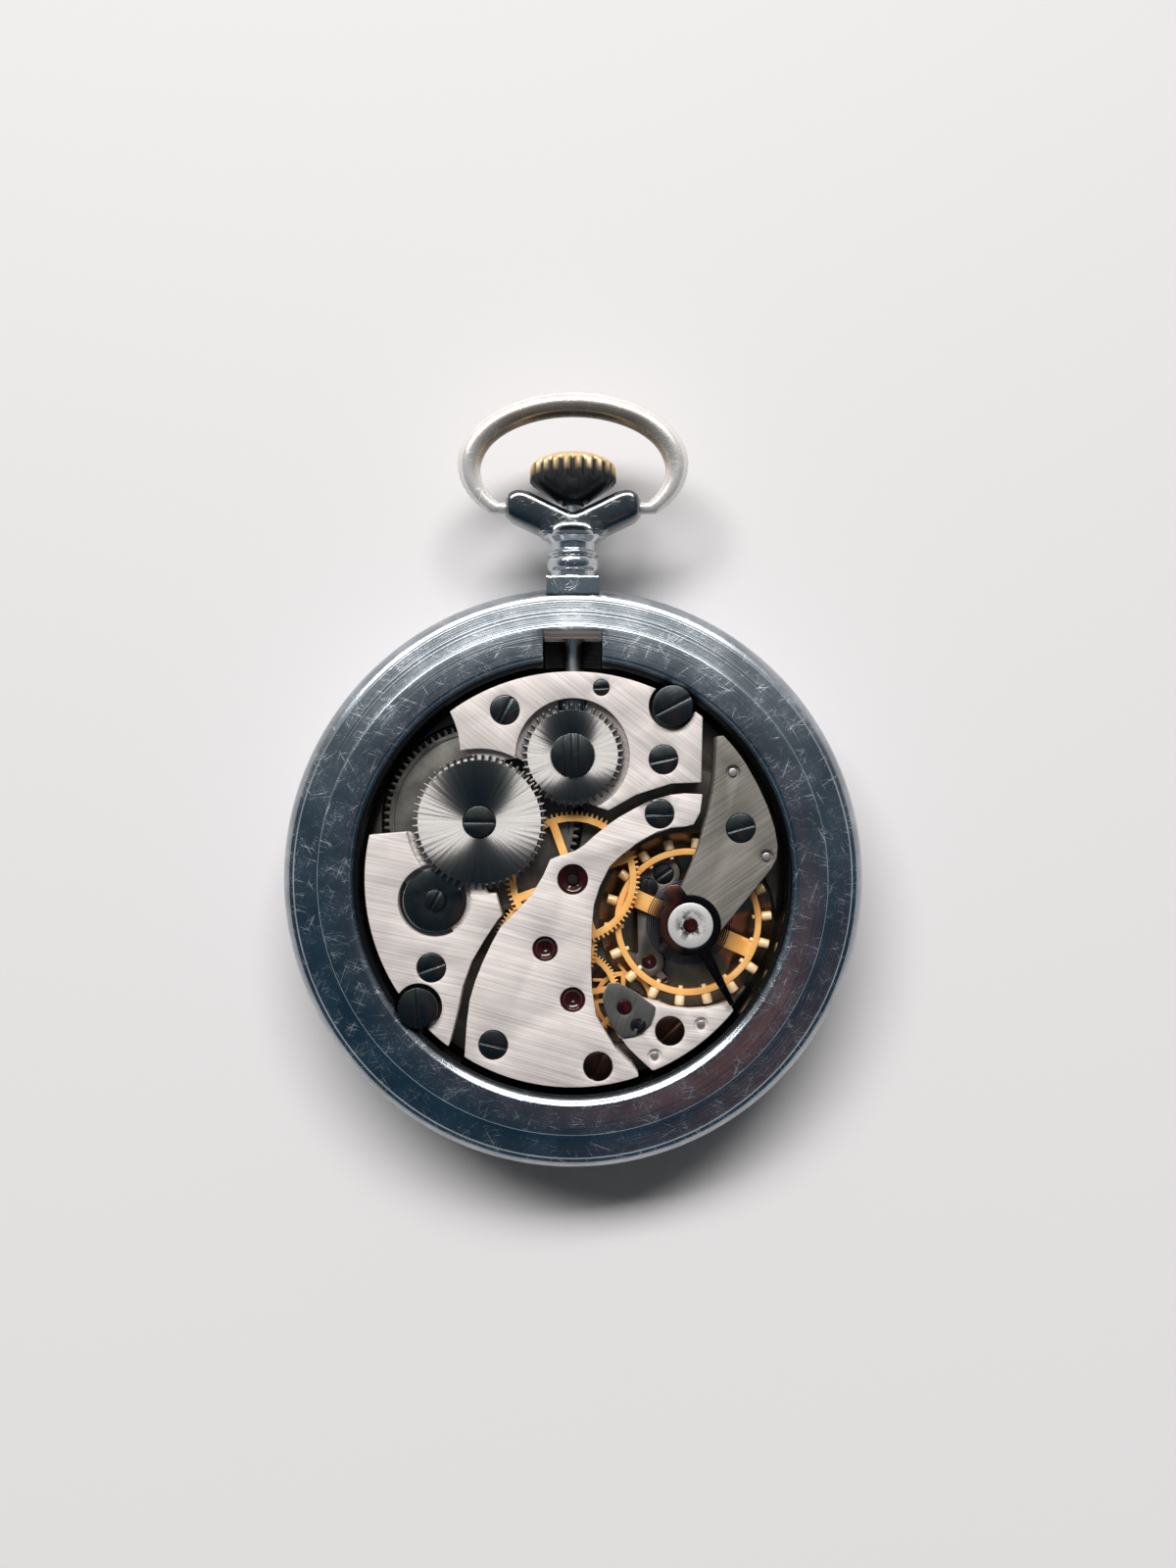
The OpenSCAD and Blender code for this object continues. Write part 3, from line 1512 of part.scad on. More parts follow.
module fourth_pinion() {
  color("DarkGray")
    at(fourth_at) {
      leaves(pinion_n, third_m, heading(fourth_at, third_at), third_wheel_z - 0.1,
        third_wheel_z + third_wheel_h + 0.1, 0);
      disc(hub_seat_r * 0.6, fourth_wheel_z, fourth_wheel_z + fourth_wheel_h);
      disc(0.25, plate_z1, bridge_z0 - 0.06);
      disc(pivot_r, seconds_z, train_bridge_z1 - 0.65);
    }
}

// Escape wheel with its club teeth, and the escape pinion
escape_root_r = escape_r - 0.75;

module escape_wheel() {
  pitch = 360 / escape_n;
  outline = [
    for (i = [0 : escape_n - 1])
      for (q = [[escape_root_r, -0.5], [escape_r - 0.12, -0.06], [escape_r, 0.06], [escape_r - 0.22, 0.14],
        [escape_root_r, -0.2]])
        polar(q[0], (i + q[1]) * pitch)
  ];
  color("Goldenrod")
    at(escape_at)
      slab(escape_wheel_z, escape_wheel_z + escape_wheel_h)
        difference() {
          polygon(outline);
          circle(0.4 + seat_gap);
          for (i = [0 : 3])
            polygon(window(0.75, escape_root_r - 0.4, 0.4, i * 90, i * 90 + 90));
        }
}

module escape_pinion() {
  color("DarkGray")
    at(escape_at) {
      leaves(escape_pinion_n, fourth_m, heading(escape_at, fourth_at), fourth_wheel_z - 0.1,
        fourth_wheel_z + fourth_wheel_h + 0.1, 0);
      disc(0.4, escape_wheel_z, escape_wheel_z + escape_wheel_h);
      disc(0.2, escape_recess_z, bridge_z0 - 0.06);
      disc(pivot_r, escape_recess_z - 0.5, escape_bridge_z1 - 0.35);
    }
}

// Pallet fork on its own arbor, and its two stones
escape_d = norm(pallet_at - escape_at);
lock_r = escape_d * cos(30);
stone_out_r = lock_r + 0.75;
stone_w = 0.3;
fork_l = pallet_reach - 1.32;
function stone_at(s, r) = escape_at + polar(r, heading(escape_at, pallet_at) + 30 * s);

module pallet_fork() {
  tip = pallet_at + polar(fork_l - 0.35, pallet_along);
  color("Gainsboro") {
    difference() {
      slab(fork_z, fork_z + fork_h)
        difference() {
          union() {
            bar(pallet_at, tip, 0.5);
            translate(tip)
              rotate(pallet_along)
                polygon([[-0.4, -0.25], [0.33, -0.5], [0.33, 0.5], [-0.4, 0.25]]);
            for (s = [-1, 1])
              bar(pallet_at, stone_at(s, lock_r + 0.5), 0.62);
            translate(pallet_at)
              circle(0.6);
          }
          translate(tip)
            rotate(pallet_along)
              translate([0, -0.2])
                square([1, 0.4]);
        }
      pallet_stones_cut();
    }
    at(pallet_at) {
      disc(0.25, balance_recess_z + 0.06, pallet_bridge_z - 0.04);
      disc(pivot_r, balance_recess_z - 0.45, pallet_bridge_z1 - 0.02);
    }
  }
}

module stone_plan(grow) {
  for (s = [-1, 1])
    translate(stone_at(s, lock_r))
      rotate(heading(escape_at, pallet_at) + 30 * s)
        translate([0, -stone_w / 2 - grow])
          square([stone_out_r - lock_r + grow, stone_w + 2 * grow]);
}

module pallet_stones_cut() {
  slab(fork_z - 1, fork_z + fork_h + 1)
    stone_plan(seat_gap);
}

module pallet_stones() {
  color("DarkRed")
    slab(fork_z - 0.02, fork_z + fork_h + 0.02)
      stone_plan(0);
}

// Balance wheel: rim and one bar across it
balance_arm_a = 156;
balance_arm_w = 1.5;
balance_hub_r = 1.3;

module balance_wheel() {
  color("Gold")
    at(balance_at) {
      difference() {
        union() {
          difference() {
            disc(rim_r, rim_z, rim_z + rim_h);
            disc(rim_r - rim_w, rim_z - 1, rim_z + rim_h + 1);
          }
          rotate(balance_arm_a)
            translate([-rim_r + rim_w / 2, -balance_arm_w / 2, rim_z + 0.05])
              cube([2 * rim_r - rim_w, balance_arm_w, 0.35]);
          disc(balance_hub_r, rim_z + 0.05, rim_z + 0.5);
        }
        disc(staff_r + seat_gap, 0, far);
        for (i = [0 : balance_screw_n - 1])
          balance_screw_place(i)
            disc(balance_stub_r + seat_gap, -rim_w - 1, 1);
      }
    }
}

// Balance screws: evenly spaced round the rim
balance_stub_r = 0.2;
balance_screw_first = 4;

module balance_screw_place(i) {
  rotate(balance_screw_first + i * 360 / balance_screw_n)
    translate([rim_r, 0, rim_z + rim_h / 2])
      rotate([0, 90, 0])
        children();
}

module balance_screws() {
  color("Khaki")
    at(balance_at)
      for (i = [0 : balance_screw_n - 1])
        balance_screw_place(i) {
          disc(balance_screw_r, 0.06, 0.9);
          disc(balance_stub_r, -rim_w - 0.25, 0.08);
        }
}

// Balance staff: steel axle with the roller and its impulse pin
staff_r = 0.45;
roller_r = 1.3;
impulse_at = 1.1;
impulse_r = 0.14;

module balance_staff() {
  color("DarkGray")
    at(balance_at) {
      disc(staff_r, balance_recess_z + 0.06, cock_z0 - 0.05);
      disc(pivot_r, balance_recess_z - 0.5, cock_z1 - 0.2);
      disc(roller_r, fork_z - 0.45, fork_z - 0.15);
      disc(0.85, hairspring_z - 0.1, hairspring_z + hairspring_h + 0.1);
      translate(polar(impulse_at, pallet_along + 180))
        disc(impulse_r, fork_z - 0.2, fork_z + fork_h + 0.05);
    }
}

// Hairspring: flat spiral from the stud to the collet on the staff
stud_angle = 25;
stud_r = 0.36;
stud_at = balance_at + polar(hairspring_r + 0.1, stud_angle);

module hairspring() {
  color("MidnightBlue")
    at(balance_at)
      spiral_strip(hairspring_r, hairspring_pitch, spiral_turns(0.95, hairspring_r, hairspring_pitch),
        stud_angle, hairspring_t, hairspring_z, hairspring_z + hairspring_h, "hairspring");
}

// Hairspring stud: peg under the cock that holds the spring's outer end
module hairspring_stud() {
  color("DarkGray")
    difference() {
      at(stud_at)
        disc(stud_r, hairspring_z - 0.1, cock_z0 + 0.38);
      at(balance_at)
        difference() {
          disc(hairspring_r + 0.02, hairspring_z - 0.02, hairspring_z + hairspring_h + 0.02);
          disc(hairspring_r - 0.12, 0, far);
        }
    }
}

// Dial: flat disc with a sunk small seconds ring, held by two feet
dial_feet = [[-16.2, 4.5], [15.6, -6.4]];
dial_foot_r = 0.4;
dial_foot_h = 0.7;
seconds_sink_r = 4.4;

module dial() {
  color("White")
  difference() {
    union() {
      disc(dial_r, dial_z, plate_z0);
      for (p = dial_feet)
        at(p)
          disc(dial_foot_r, dial_z, plate_z0 + dial_foot_h);
    }
    disc(hour_tube_r + 0.2, 0, far);
    at(fourth_at) {
      disc(seconds_sink_r, 0, dial_z + 0.12);
      disc(pivot_r + 0.2, 0, far);
    }
  }
}

// Hands: flat tapered pointers pressed on their tubes
hour_hand_z = dial_z - 1.2;
minute_hand_z = dial_z - 1.85;
seconds_z = dial_z - 0.55;
hand_t = 0.2;

module hand(length, w, tail, boss, bore, z0, z1) {
  slab(z0, z1)
    difference() {
      union() {
        polygon([[-w / 2, 0], [w / 2, 0], [w * 0.9, length * 0.62], [0, length], [-w * 0.9, length * 0.62]]);
        if (tail > 0)
          translate([-w / 2, -tail])
            square([w, tail + tiny]);
        circle(boss);
      }
      circle(bore);
    }
}

module hour_hand() {
  color("#1c2238")
    rotate(60)
      hand(hour_hand_l, 0.9, 0, hour_tube_r + 0.7, hour_tube_r + seat_gap, hour_hand_z, hour_hand_z + hand_t);
}

module minute_hand() {
  color("#1c2238")
    rotate(-60)
      hand(minute_hand_l, 0.8, 0, cannon_tube_r + 0.7, cannon_tube_r + seat_gap, minute_hand_z,
        minute_hand_z + hand_t);
}

module seconds_hand() {
  color("#1c2238")
    at(fourth_at)
      rotate(30)
        hand(seconds_hand_l, 0.25, 1.2, 0.45, pivot_r + seat_gap, seconds_z + 0.08, seconds_z + 0.22);
}

// Motion work behind the dial: cannon pinion, minute wheel, setting wheel and hour wheel
cannon_tube_r = 0.75;
cannon_z0 = minute_hand_z - 0.1;
hour_tube_r = 1.05;
minute_stud_r = 0.4;
minute_stud_h = 0.3;
hour_wheel_z = plate_z0 + 0.05;
hour_wheel_h = 0.22;
minute_wheel_z = plate_z0 + 0.38;
minute_wheel_h = 0.22;

module cannon_pinion() {
  color("DarkGray") {
    leaves(cannon_n, cannon_m, heading([0, 0], minute_at), minute_wheel_z - 0.05, plate_z0 + 0.64,
      centre_pivot_r + seat_gap);
    difference() {
      disc(cannon_tube_r, cannon_z0, minute_wheel_z);
      disc(centre_pivot_r + seat_gap, 0, far);
    }
  }
}

module minute_wheel() {
  color("Goldenrod")
    at(minute_at) {
      armed_wheel(minute_n, cannon_m, heading(minute_at, [0, 0]), minute_wheel_z, minute_wheel_h,
        tiny, 0.9, 0.5, 4, 0.6, 0);
      leaves(minute_pinion_n, hour_m, heading(minute_at, [0, 0]), hour_wheel_z, minute_wheel_z + tiny, 0);
      disc(minute_stud_r - run_gap + seat_gap, minute_wheel_z, dial_recess_z + minute_stud_h - 0.05);
    }
}

module setting_wheel() {
  color("DarkGray")
    at(setting_at) {
      slab(minute_wheel_z, minute_wheel_z + minute_wheel_h)
        polygon(gear(setting_n, cannon_m, leaf_share, leaf_add, wheel_ded,
          heading(setting_at, minute_at) + 180 / setting_n, tip_share));
      disc(minute_stud_r - run_gap + seat_gap, minute_wheel_z, dial_recess_z + minute_stud_h - 0.05);
    }
}

module hour_wheel() {
  color("Goldenrod") {
    armed_wheel(hour_n, hour_m, heading([0, 0], minute_at), hour_wheel_z, hour_wheel_h,
      cannon_tube_r + run_gap, 1.4, 0.5, 4, 0.6, 45);
    difference() {
      disc(hour_tube_r, hour_hand_z - 0.05, hour_wheel_z + tiny);
      disc(cannon_tube_r + run_gap, 0, far);
    }
  }
}

case_middle();
pendant();
bow();
bezel();
crystal();
crown();
winding_stem();
case_screws();
main_plate();
barrel_bridge();
train_bridge();
escape_bridge();
pallet_bridge();
balance_cock();
bridge_screws();
small_screws();
dowel_pins();
train_jewels();
escapement_jewels();
escape_endstone_plate();
balance_jewel_setting();
regulator();
ratchet_wheel();
ratchet_screw();
crown_wheel();
crown_wheel_screw();
click();
click_screw();
click_spring();
winding_pinion();
sliding_pinion();
setting_lever();
yoke();
barrel_drum();
barrel_cover();
barrel_arbor();
mainspring();
centre_wheel();
centre_pinion();
third_wheel();
third_pinion();
fourth_wheel();
fourth_pinion();
escape_wheel();
escape_pinion();
pallet_fork();
pallet_stones();
balance_wheel();
balance_screws();
balance_staff();
hairspring();
hairspring_stud();
dial();
hour_hand();
minute_hand();
seconds_hand();
cannon_pinion();
minute_wheel();
setting_wheel();
hour_wheel();
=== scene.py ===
import json
import math

import bmesh
import bpy
from mathutils import Matrix, Vector

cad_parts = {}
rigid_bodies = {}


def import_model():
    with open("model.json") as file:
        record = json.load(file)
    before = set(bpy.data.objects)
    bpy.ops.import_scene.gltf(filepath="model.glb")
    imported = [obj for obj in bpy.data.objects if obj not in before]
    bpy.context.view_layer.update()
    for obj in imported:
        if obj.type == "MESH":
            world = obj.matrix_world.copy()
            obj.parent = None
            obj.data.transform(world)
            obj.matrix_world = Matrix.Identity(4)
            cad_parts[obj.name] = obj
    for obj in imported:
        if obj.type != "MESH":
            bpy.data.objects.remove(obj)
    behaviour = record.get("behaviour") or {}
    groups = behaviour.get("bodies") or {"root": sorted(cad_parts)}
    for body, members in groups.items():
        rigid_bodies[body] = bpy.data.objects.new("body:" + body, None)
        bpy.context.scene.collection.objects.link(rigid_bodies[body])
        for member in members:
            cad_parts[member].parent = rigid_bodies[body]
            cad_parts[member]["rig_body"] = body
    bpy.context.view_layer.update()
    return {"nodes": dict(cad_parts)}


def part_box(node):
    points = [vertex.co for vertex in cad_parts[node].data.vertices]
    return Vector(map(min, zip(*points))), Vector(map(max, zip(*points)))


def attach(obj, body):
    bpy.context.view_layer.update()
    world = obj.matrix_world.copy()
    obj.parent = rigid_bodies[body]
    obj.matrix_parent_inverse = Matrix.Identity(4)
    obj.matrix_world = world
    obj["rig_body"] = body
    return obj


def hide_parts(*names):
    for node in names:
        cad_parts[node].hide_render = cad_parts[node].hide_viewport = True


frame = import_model()

# Main plate: the disc that carries the whole movement, turned and milled from brass, then nickel plated.
# Its pockets keep a fine sandy grain and a warmer tone; the plate is coloured far darker than the bridges
# that are screwed to it, as painted shade for the gaps between them.
MM = 0.001
TO_MM = 1000
MERGE = 1e-7
FLAT_ANGLE = math.radians(0.4)
SHARP_ANGLE = math.radians(32)
LEVEL = 0.9995
MIX_A = 6
MIX_B = 7
MIX_COLOUR = 2
PLATING_METAL = 0.85
PATCHES_A_MM = 0.45
PATCH_STEP = (0.35, 0.65)
GRAINS_A_MM = 14
GRAIN_DETAIL = 4
GRAIN_SHARE = 0.4
GRAIN_MATT = 0.25
GRAIN_DEPTH_MM = 0.02
GRAIN_STRENGTH = 0.3
RECESS_EDGE_MM = (7.65, 7.8)
RECESS_GLOSS = 0.6
RECESS_COLOUR = (0.3, 0.215, 0.14, 1)
PLATE_PAINTED_SHADE_DARK = (0.05, 0.047, 0.04, 1)
PLATE_PAINTED_SHADE_LIGHT = (0.17, 0.155, 0.135, 1)
BODY_OF = {name: item["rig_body"] for name, item in frame["nodes"].items()}
staff_low, staff_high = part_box("balance_staff")
balance_middle = (staff_low + staff_high) / 2
balance_mm = (balance_middle.x * TO_MM, balance_middle.y * TO_MM, 0)


class Field:
    """One socket of a shader tree; arithmetic on it adds Math nodes, and node() adds any other node."""

    def __init__(self, socket):
        self.socket = socket
        self.tree = socket.id_data

    def node(self, kind, settings, values, output=0):
        made = self.tree.nodes.new(kind)
        for key, value in settings.items():
            setattr(made, key, value)
        for key, value in values.items():
            if isinstance(value, Field):
                self.tree.links.new(value.socket, made.inputs[key])
            else:
                made.inputs[key].default_value = value
        return Field(made.outputs[output])

    def math(self, operation, first, second=0.0):
        return self.node("ShaderNodeMath", {"operation": operation}, {0: first, 1: second})

    def vector_math(self, operation, second, output=0):
        return self.node("ShaderNodeVectorMath", {"operation": operation}, {0: self, 1: second}, output)

    def __add__(self, other):
        return self.math("ADD", self, other)

    def __sub__(self, other):
        return self.math("SUBTRACT", self, other)

    def __rsub__(self, other):
        return self.math("SUBTRACT", other, self)

    def __mul__(self, other):
        return self.math("MULTIPLY", self, other)

    __radd__ = __add__
    __rmul__ = __mul__

    def at_most_one(self):
        return self.math("MINIMUM", self, 1.0)

    def between(self, low, high):
        """Runs from 0 to 1 while this value runs from low to high."""
        return self.node("ShaderNodeMapRange", {}, {"Value": self, "From Min": low, "From Max": high})

    def mix(self, first, second):
        """The first colour where this value is 0 and the second where it is 1."""
        values = {0: self, MIX_A: first, MIX_B: second}
        return self.node("ShaderNodeMix", {"data_type": "RGBA"}, values, MIX_COLOUR)

    def part(self, axis):
        return self.node("ShaderNodeSeparateXYZ", {}, {0: self}, "XYZ".index(axis))

    def noise(self, scale, detail=3.0, stretch=(1, 1, 1), turn=0.0):
        """Noise on these coordinates, which are stretched and turned about Z first."""
        values = {"Vector": self, "Rotation": (0, 0, turn), "Scale": stretch}
        moved = self.node("ShaderNodeMapping", {"vector_type": "TEXTURE"}, values)
        return moved.node("ShaderNodeTexNoise", {}, {"Vector": moved, "Scale": scale, "Detail": detail})

    def noise_along(self, lines):
        """Noise that changes along this one value, with a number of lines for each unit of it."""
        values = {"W": self * lines, "Scale": 1.0, "Detail": 2.0}
        return self.node("ShaderNodeTexNoise", {"noise_dimensions": "1D"}, values)

    def from_point(self, point):
        """The same coordinates counted from a point in the frame."""
        return self.vector_math("SUBTRACT", point)

    def length(self, kept=(1, 1, 0)):
        """Length of these coordinates, counting only the axes that are kept."""
        flat = self.vector_math("MULTIPLY", kept)
        return flat.node("ShaderNodeVectorMath", {"operation": "LENGTH"}, {0: flat}, "Value")


def new_finish(name, constants):
    """A material with fixed shader values; gives it, its shader and its place in millimetres."""
    material = bpy.data.materials.new(name)
    material.use_nodes = True
    shader = material.node_tree.nodes["Principled BSDF"]
    for socket, value in constants.items():
        shader.inputs[socket].default_value = value
    place = Field(material.node_tree.nodes.new("ShaderNodeTexCoord").outputs["Object"])
    place_mm = place.node("ShaderNodeVectorMath", {"operation": "SCALE"}, {0: place, "Scale": TO_MM})
    return material, shader, place_mm


def feed(shader, fields):
    """Links fields to the shader's sockets by name."""
    for socket, field in fields.items():
        field.tree.links.new(field.socket, shader.inputs[socket])


def bumped(height, depth_mm, strength):
    """A normal that follows a height field."""
    values = {"Height": height, "Distance": depth_mm * MM, "Strength": strength}
    return height.node("ShaderNodeBump", {}, values)


def add_piece(name, mesh, body, nodes=()):
    """Makes an object of a mesh, rides it on a body and hides the CAD nodes that it stands for."""
    piece = bpy.data.objects.new(name, mesh)
    bpy.context.scene.collection.objects.link(piece)
    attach(piece, body)
    if nodes:
        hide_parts(*nodes)


def plain_mesh(source):
    """The final mesh of an object with its modifiers, after which the object itself is removed."""
    graph = bpy.context.evaluated_depsgraph_get()
    mesh = bpy.data.meshes.new_from_object(source.evaluated_get(graph))
    bpy.data.objects.remove(source)
    return mesh


def merged_copy(node, material):
    """A copy of a CAD node's mesh in one material, with its touching corners joined."""
    mesh = frame["nodes"][node].data.copy()
    mesh.materials.clear()
    mesh.materials.append(material)
    shape = bmesh.new()
    shape.from_mesh(mesh)
    bmesh.ops.remove_doubles(shape, verts=shape.verts, dist=MERGE)
    shape.to_mesh(mesh)
    shape.free()
    return mesh


def broken_edges(node, material, edge_mm, rows=2):
    """Stands a copy of a CAD node in its place with its sharp edges broken, as a maker leaves them."""
    mesh = merged_copy(node, material)
    shape = bmesh.new()
    shape.from_mesh(mesh)
    bmesh.ops.dissolve_limit(shape, angle_limit=FLAT_ANGLE, verts=shape.verts, edges=shape.edges)
    bmesh.ops.triangulate(shape, faces=shape.faces, ngon_method="BEAUTY")
    weight = shape.edges.layers.float.new("bevel_weight_edge")
    for edge in shape.edges:
        if edge.is_manifold and edge.calc_face_angle() > SHARP_ANGLE:
            edge[weight] = 1.0
    shape.to_mesh(mesh)
    shape.free()
    rough = bpy.data.objects.new(node + "_rough", mesh)
    bpy.context.scene.collection.objects.link(rough)
    bevel = rough.modifiers.new("edge", "BEVEL")
    bevel.width = edge_mm * MM
    bevel.segments = rows
    bevel.limit_method = "WEIGHT"
    bevel.use_clamp_overlap = False
    bevel.loop_slide = False
    done = plain_mesh(rough)
    for face in done.polygons:
        face.use_smooth = abs(face.normal.z) < LEVEL
    done.set_sharp_from_angle(angle=SHARP_ANGLE)
    add_piece(node + "_finished", done, BODY_OF[node], [node])


def sandy_nickel(name, dark, light, roughness, polished=None):
    """Nickel with a fine matt grain and some older, duller patches; a field can mark where it is polished."""
    material, shader, place = new_finish(name, {"Metallic": PLATING_METAL})
    patch = place.noise(PATCHES_A_MM).between(*PATCH_STEP)
    grain = place.noise(GRAINS_A_MM, GRAIN_DETAIL)
    base = (patch * (1 - GRAIN_SHARE) + grain * GRAIN_SHARE).mix(dark, light)
    matt = grain * GRAIN_MATT + roughness
    if polished:
        shine = polished(place)
        base = shine.mix(base, RECESS_COLOUR)
        matt = matt * (1 - shine * RECESS_GLOSS)
    feed(shader, {
        "Base Color": base,
        "Roughness": matt,
        "Normal": bumped(grain, GRAIN_DEPTH_MM, GRAIN_STRENGTH),
    })
    return material


def in_recess(place):
    """One in the round recess that the balance swings in."""
    return 1 - place.from_point(balance_mm).length().between(*RECESS_EDGE_MM)


# The plate's dark colours are painted shade, standing for the shadow in the gaps between the bridges.
plate_nickel_and_shade = sandy_nickel("plate_nickel_and_shade", PLATE_PAINTED_SHADE_DARK, PLATE_PAINTED_SHADE_LIGHT, roughness=0.35, polished=in_recess)
broken_edges("main_plate", plate_nickel_and_shade, edge_mm=0.06)

# Barrel: a toothed brass drum with a pressed-in cover, which holds the wound mainspring on its arbor.
# Drum and cover are plated together and have gone a dull sandy grey.
BARREL_DARK = (0.06, 0.06, 0.055, 1)
BARREL_LIGHT = (0.2, 0.19, 0.17, 1)
CLOUDS_A_MM = 1.5
CLOUD_MATT = 0.2
barrel_plating = sandy_nickel("barrel_plating", BARREL_DARK, BARREL_LIGHT, roughness=0.4)
broken_edges("barrel_drum", barrel_plating, edge_mm=0.03)
broken_edges("barrel_cover", barrel_plating, edge_mm=0.05)


def plain_steel(name, colour, roughness):
    """Polished steel with faint cloudy wear."""
    material, shader, place = new_finish(name, {"Metallic": 1.0, "Base Color": colour})
    feed(shader, {"Roughness": place.noise(CLOUDS_A_MM) * CLOUD_MATT + roughness})
    return material


def coat(node, material):
    """Gives a CAD node its material and leaves its shape alone."""
    mesh = frame["nodes"][node].data
    mesh.materials.clear()
    mesh.materials.append(material)


bright_steel = plain_steel("bright_steel", colour=(0.5, 0.5, 0.49, 1), roughness=0.22)
blued_spring = plain_steel("blued_spring", colour=(0.05, 0.06, 0.1, 1), roughness=0.25)
coat("barrel_arbor", bright_steel)
coat("mainspring", blued_spring)

# Going train: the centre, third and fourth wheels, cut from brass, gilt and riveted to steel pinions.
# The tooth edges are only lightly broken, so the gilding shines on flat faces and edges alike.
GILT_METAL = 0.12
GILT_TONES_A_MM = 0.8
GILT_TONE_STEP = (0.3, 0.7)
GILT_GRAINS_A_MM = 6
GILT_MATT = 0.15
GILT_DARK = (1.0, 0.47, 0.12, 1)
GILT_LIGHT = (1.0, 0.61, 0.22, 1)


def gilding(name, dark, light, roughness):
    """Gilt brass with slight changes of tone."""
    material, shader, place = new_finish(name, {"Metallic": GILT_METAL})
    tone = place.noise(GILT_TONES_A_MM).between(*GILT_TONE_STEP)
    feed(shader, {
        "Base Color": tone.mix(dark, light),
        "Roughness": place.noise(GILT_GRAINS_A_MM) * GILT_MATT + roughness,
    })
    return material


wheel_gilding = gilding("wheel_gilding", GILT_DARK, GILT_LIGHT, roughness=0.3)
for wheel in ("centre_wheel", "third_wheel", "fourth_wheel"):
    broken_edges(wheel, wheel_gilding, edge_mm=0.025)
pivot_steel = plain_steel("pivot_steel", colour=(0.1, 0.085, 0.085, 1), roughness=0.2)
for pinion in ("centre_pinion", "third_pinion", "fourth_pinion", "escape_pinion"):
    coat(pinion, pivot_steel)

# Escapement: a gilt escape wheel with club teeth, and a steel fork that carries two ruby stones.
# The fork turns under its own small nickel bridge, low down beside the balance.
PALLET_DARK = (0.08, 0.075, 0.065, 1)
PALLET_LIGHT = (0.22, 0.2, 0.175, 1)
broken_edges("escape_wheel", wheel_gilding, edge_mm=0.02)
coat("pallet_fork", bright_steel)
pallet_nickel = sandy_nickel("pallet_nickel", PALLET_DARK, PALLET_LIGHT, roughness=0.4)
broken_edges("pallet_bridge", pallet_nickel, edge_mm=0.07)

# Bridges: flat nickel-plated plates that hold the upper pivots, each screwed down on its own foot.
# Their tops are drawn over fine emery in one direction, so thin slanting lines catch the light.
BRIDGE_EDGE_MM = 0.09
BRIDGE_METAL = 0.2
BRIDGE_ROUGHNESS = 0.52
BRUSH_LENGTH_MM = 8
BRUSH_WIDTH_MM = 0.12
BRUSH_DETAIL = 5
BRUSH_STEP = (0.3, 0.7)
BRUSH_SHARE = 0.75
BRUSH_MATT = 0.2
BRUSH_DEPTH_MM = 0.01
BRUSH_STRENGTH = 0.45
DULL_PATCHES_A_MM = 0.35
TURN_HALF_MM = 0.5
NICKEL = ((0.51, 0.472, 0.457, 1), (0.91, 0.843, 0.815, 1))
COCK_NICKEL = ((0.11, 0.106, 0.094, 1), (0.285, 0.265, 0.235, 1))
ENDSTONE_STEEL = ((0.05, 0.052, 0.05, 1), (0.1, 0.1, 0.095, 1))


def brushed(place, degrees):
    """Fine lines that lie at an angle to the X axis."""
    stretch = (BRUSH_LENGTH_MM, BRUSH_WIDTH_MM, 1)
    return place.noise(1, BRUSH_DETAIL, stretch, math.radians(degrees))


def brushed_nickel(name, tones, degrees, upper_degrees=None, from_y_mm=0):
    """Brushed nickel in a dark and a light tone; its lines may take another direction above a height in Y."""
    material, shader, place = new_finish(name, {"Metallic": BRIDGE_METAL})
    lines = brushed(place, degrees)
    if upper_degrees:
        upper = place.part("Y").between(from_y_mm - TURN_HALF_MM, from_y_mm + TURN_HALF_MM)
        lines = upper * brushed(place, upper_degrees) + (1 - upper) * lines
    dull = place.noise(DULL_PATCHES_A_MM).between(*BRUSH_STEP)
    tone = lines.between(*BRUSH_STEP) * BRUSH_SHARE + dull * (1 - BRUSH_SHARE)
    feed(shader, {
        "Base Color": tone.mix(*tones),
        "Roughness": lines * BRUSH_MATT + BRIDGE_ROUGHNESS,
        "Normal": bumped(lines, BRUSH_DEPTH_MM, BRUSH_STRENGTH),
    })
    return material


barrel_nickel = brushed_nickel("barrel_nickel", NICKEL, degrees=-12, upper_degrees=-38, from_y_mm=4)
train_nickel = brushed_nickel("train_nickel", NICKEL, degrees=-16)
escape_nickel = brushed_nickel("escape_nickel", NICKEL, degrees=-8)
cock_nickel = brushed_nickel("cock_nickel", COCK_NICKEL, degrees=35)
broken_edges("barrel_bridge", barrel_nickel, BRIDGE_EDGE_MM)
broken_edges("train_bridge", train_nickel, BRIDGE_EDGE_MM)
broken_edges("escape_bridge", escape_nickel, BRIDGE_EDGE_MM)
broken_edges("balance_cock", cock_nickel, BRIDGE_EDGE_MM)
endstone_steel = brushed_nickel("endstone_steel", ENDSTONE_STEEL, degrees=70)
broken_edges("escape_endstone_plate", endstone_steel, edge_mm=0.14)

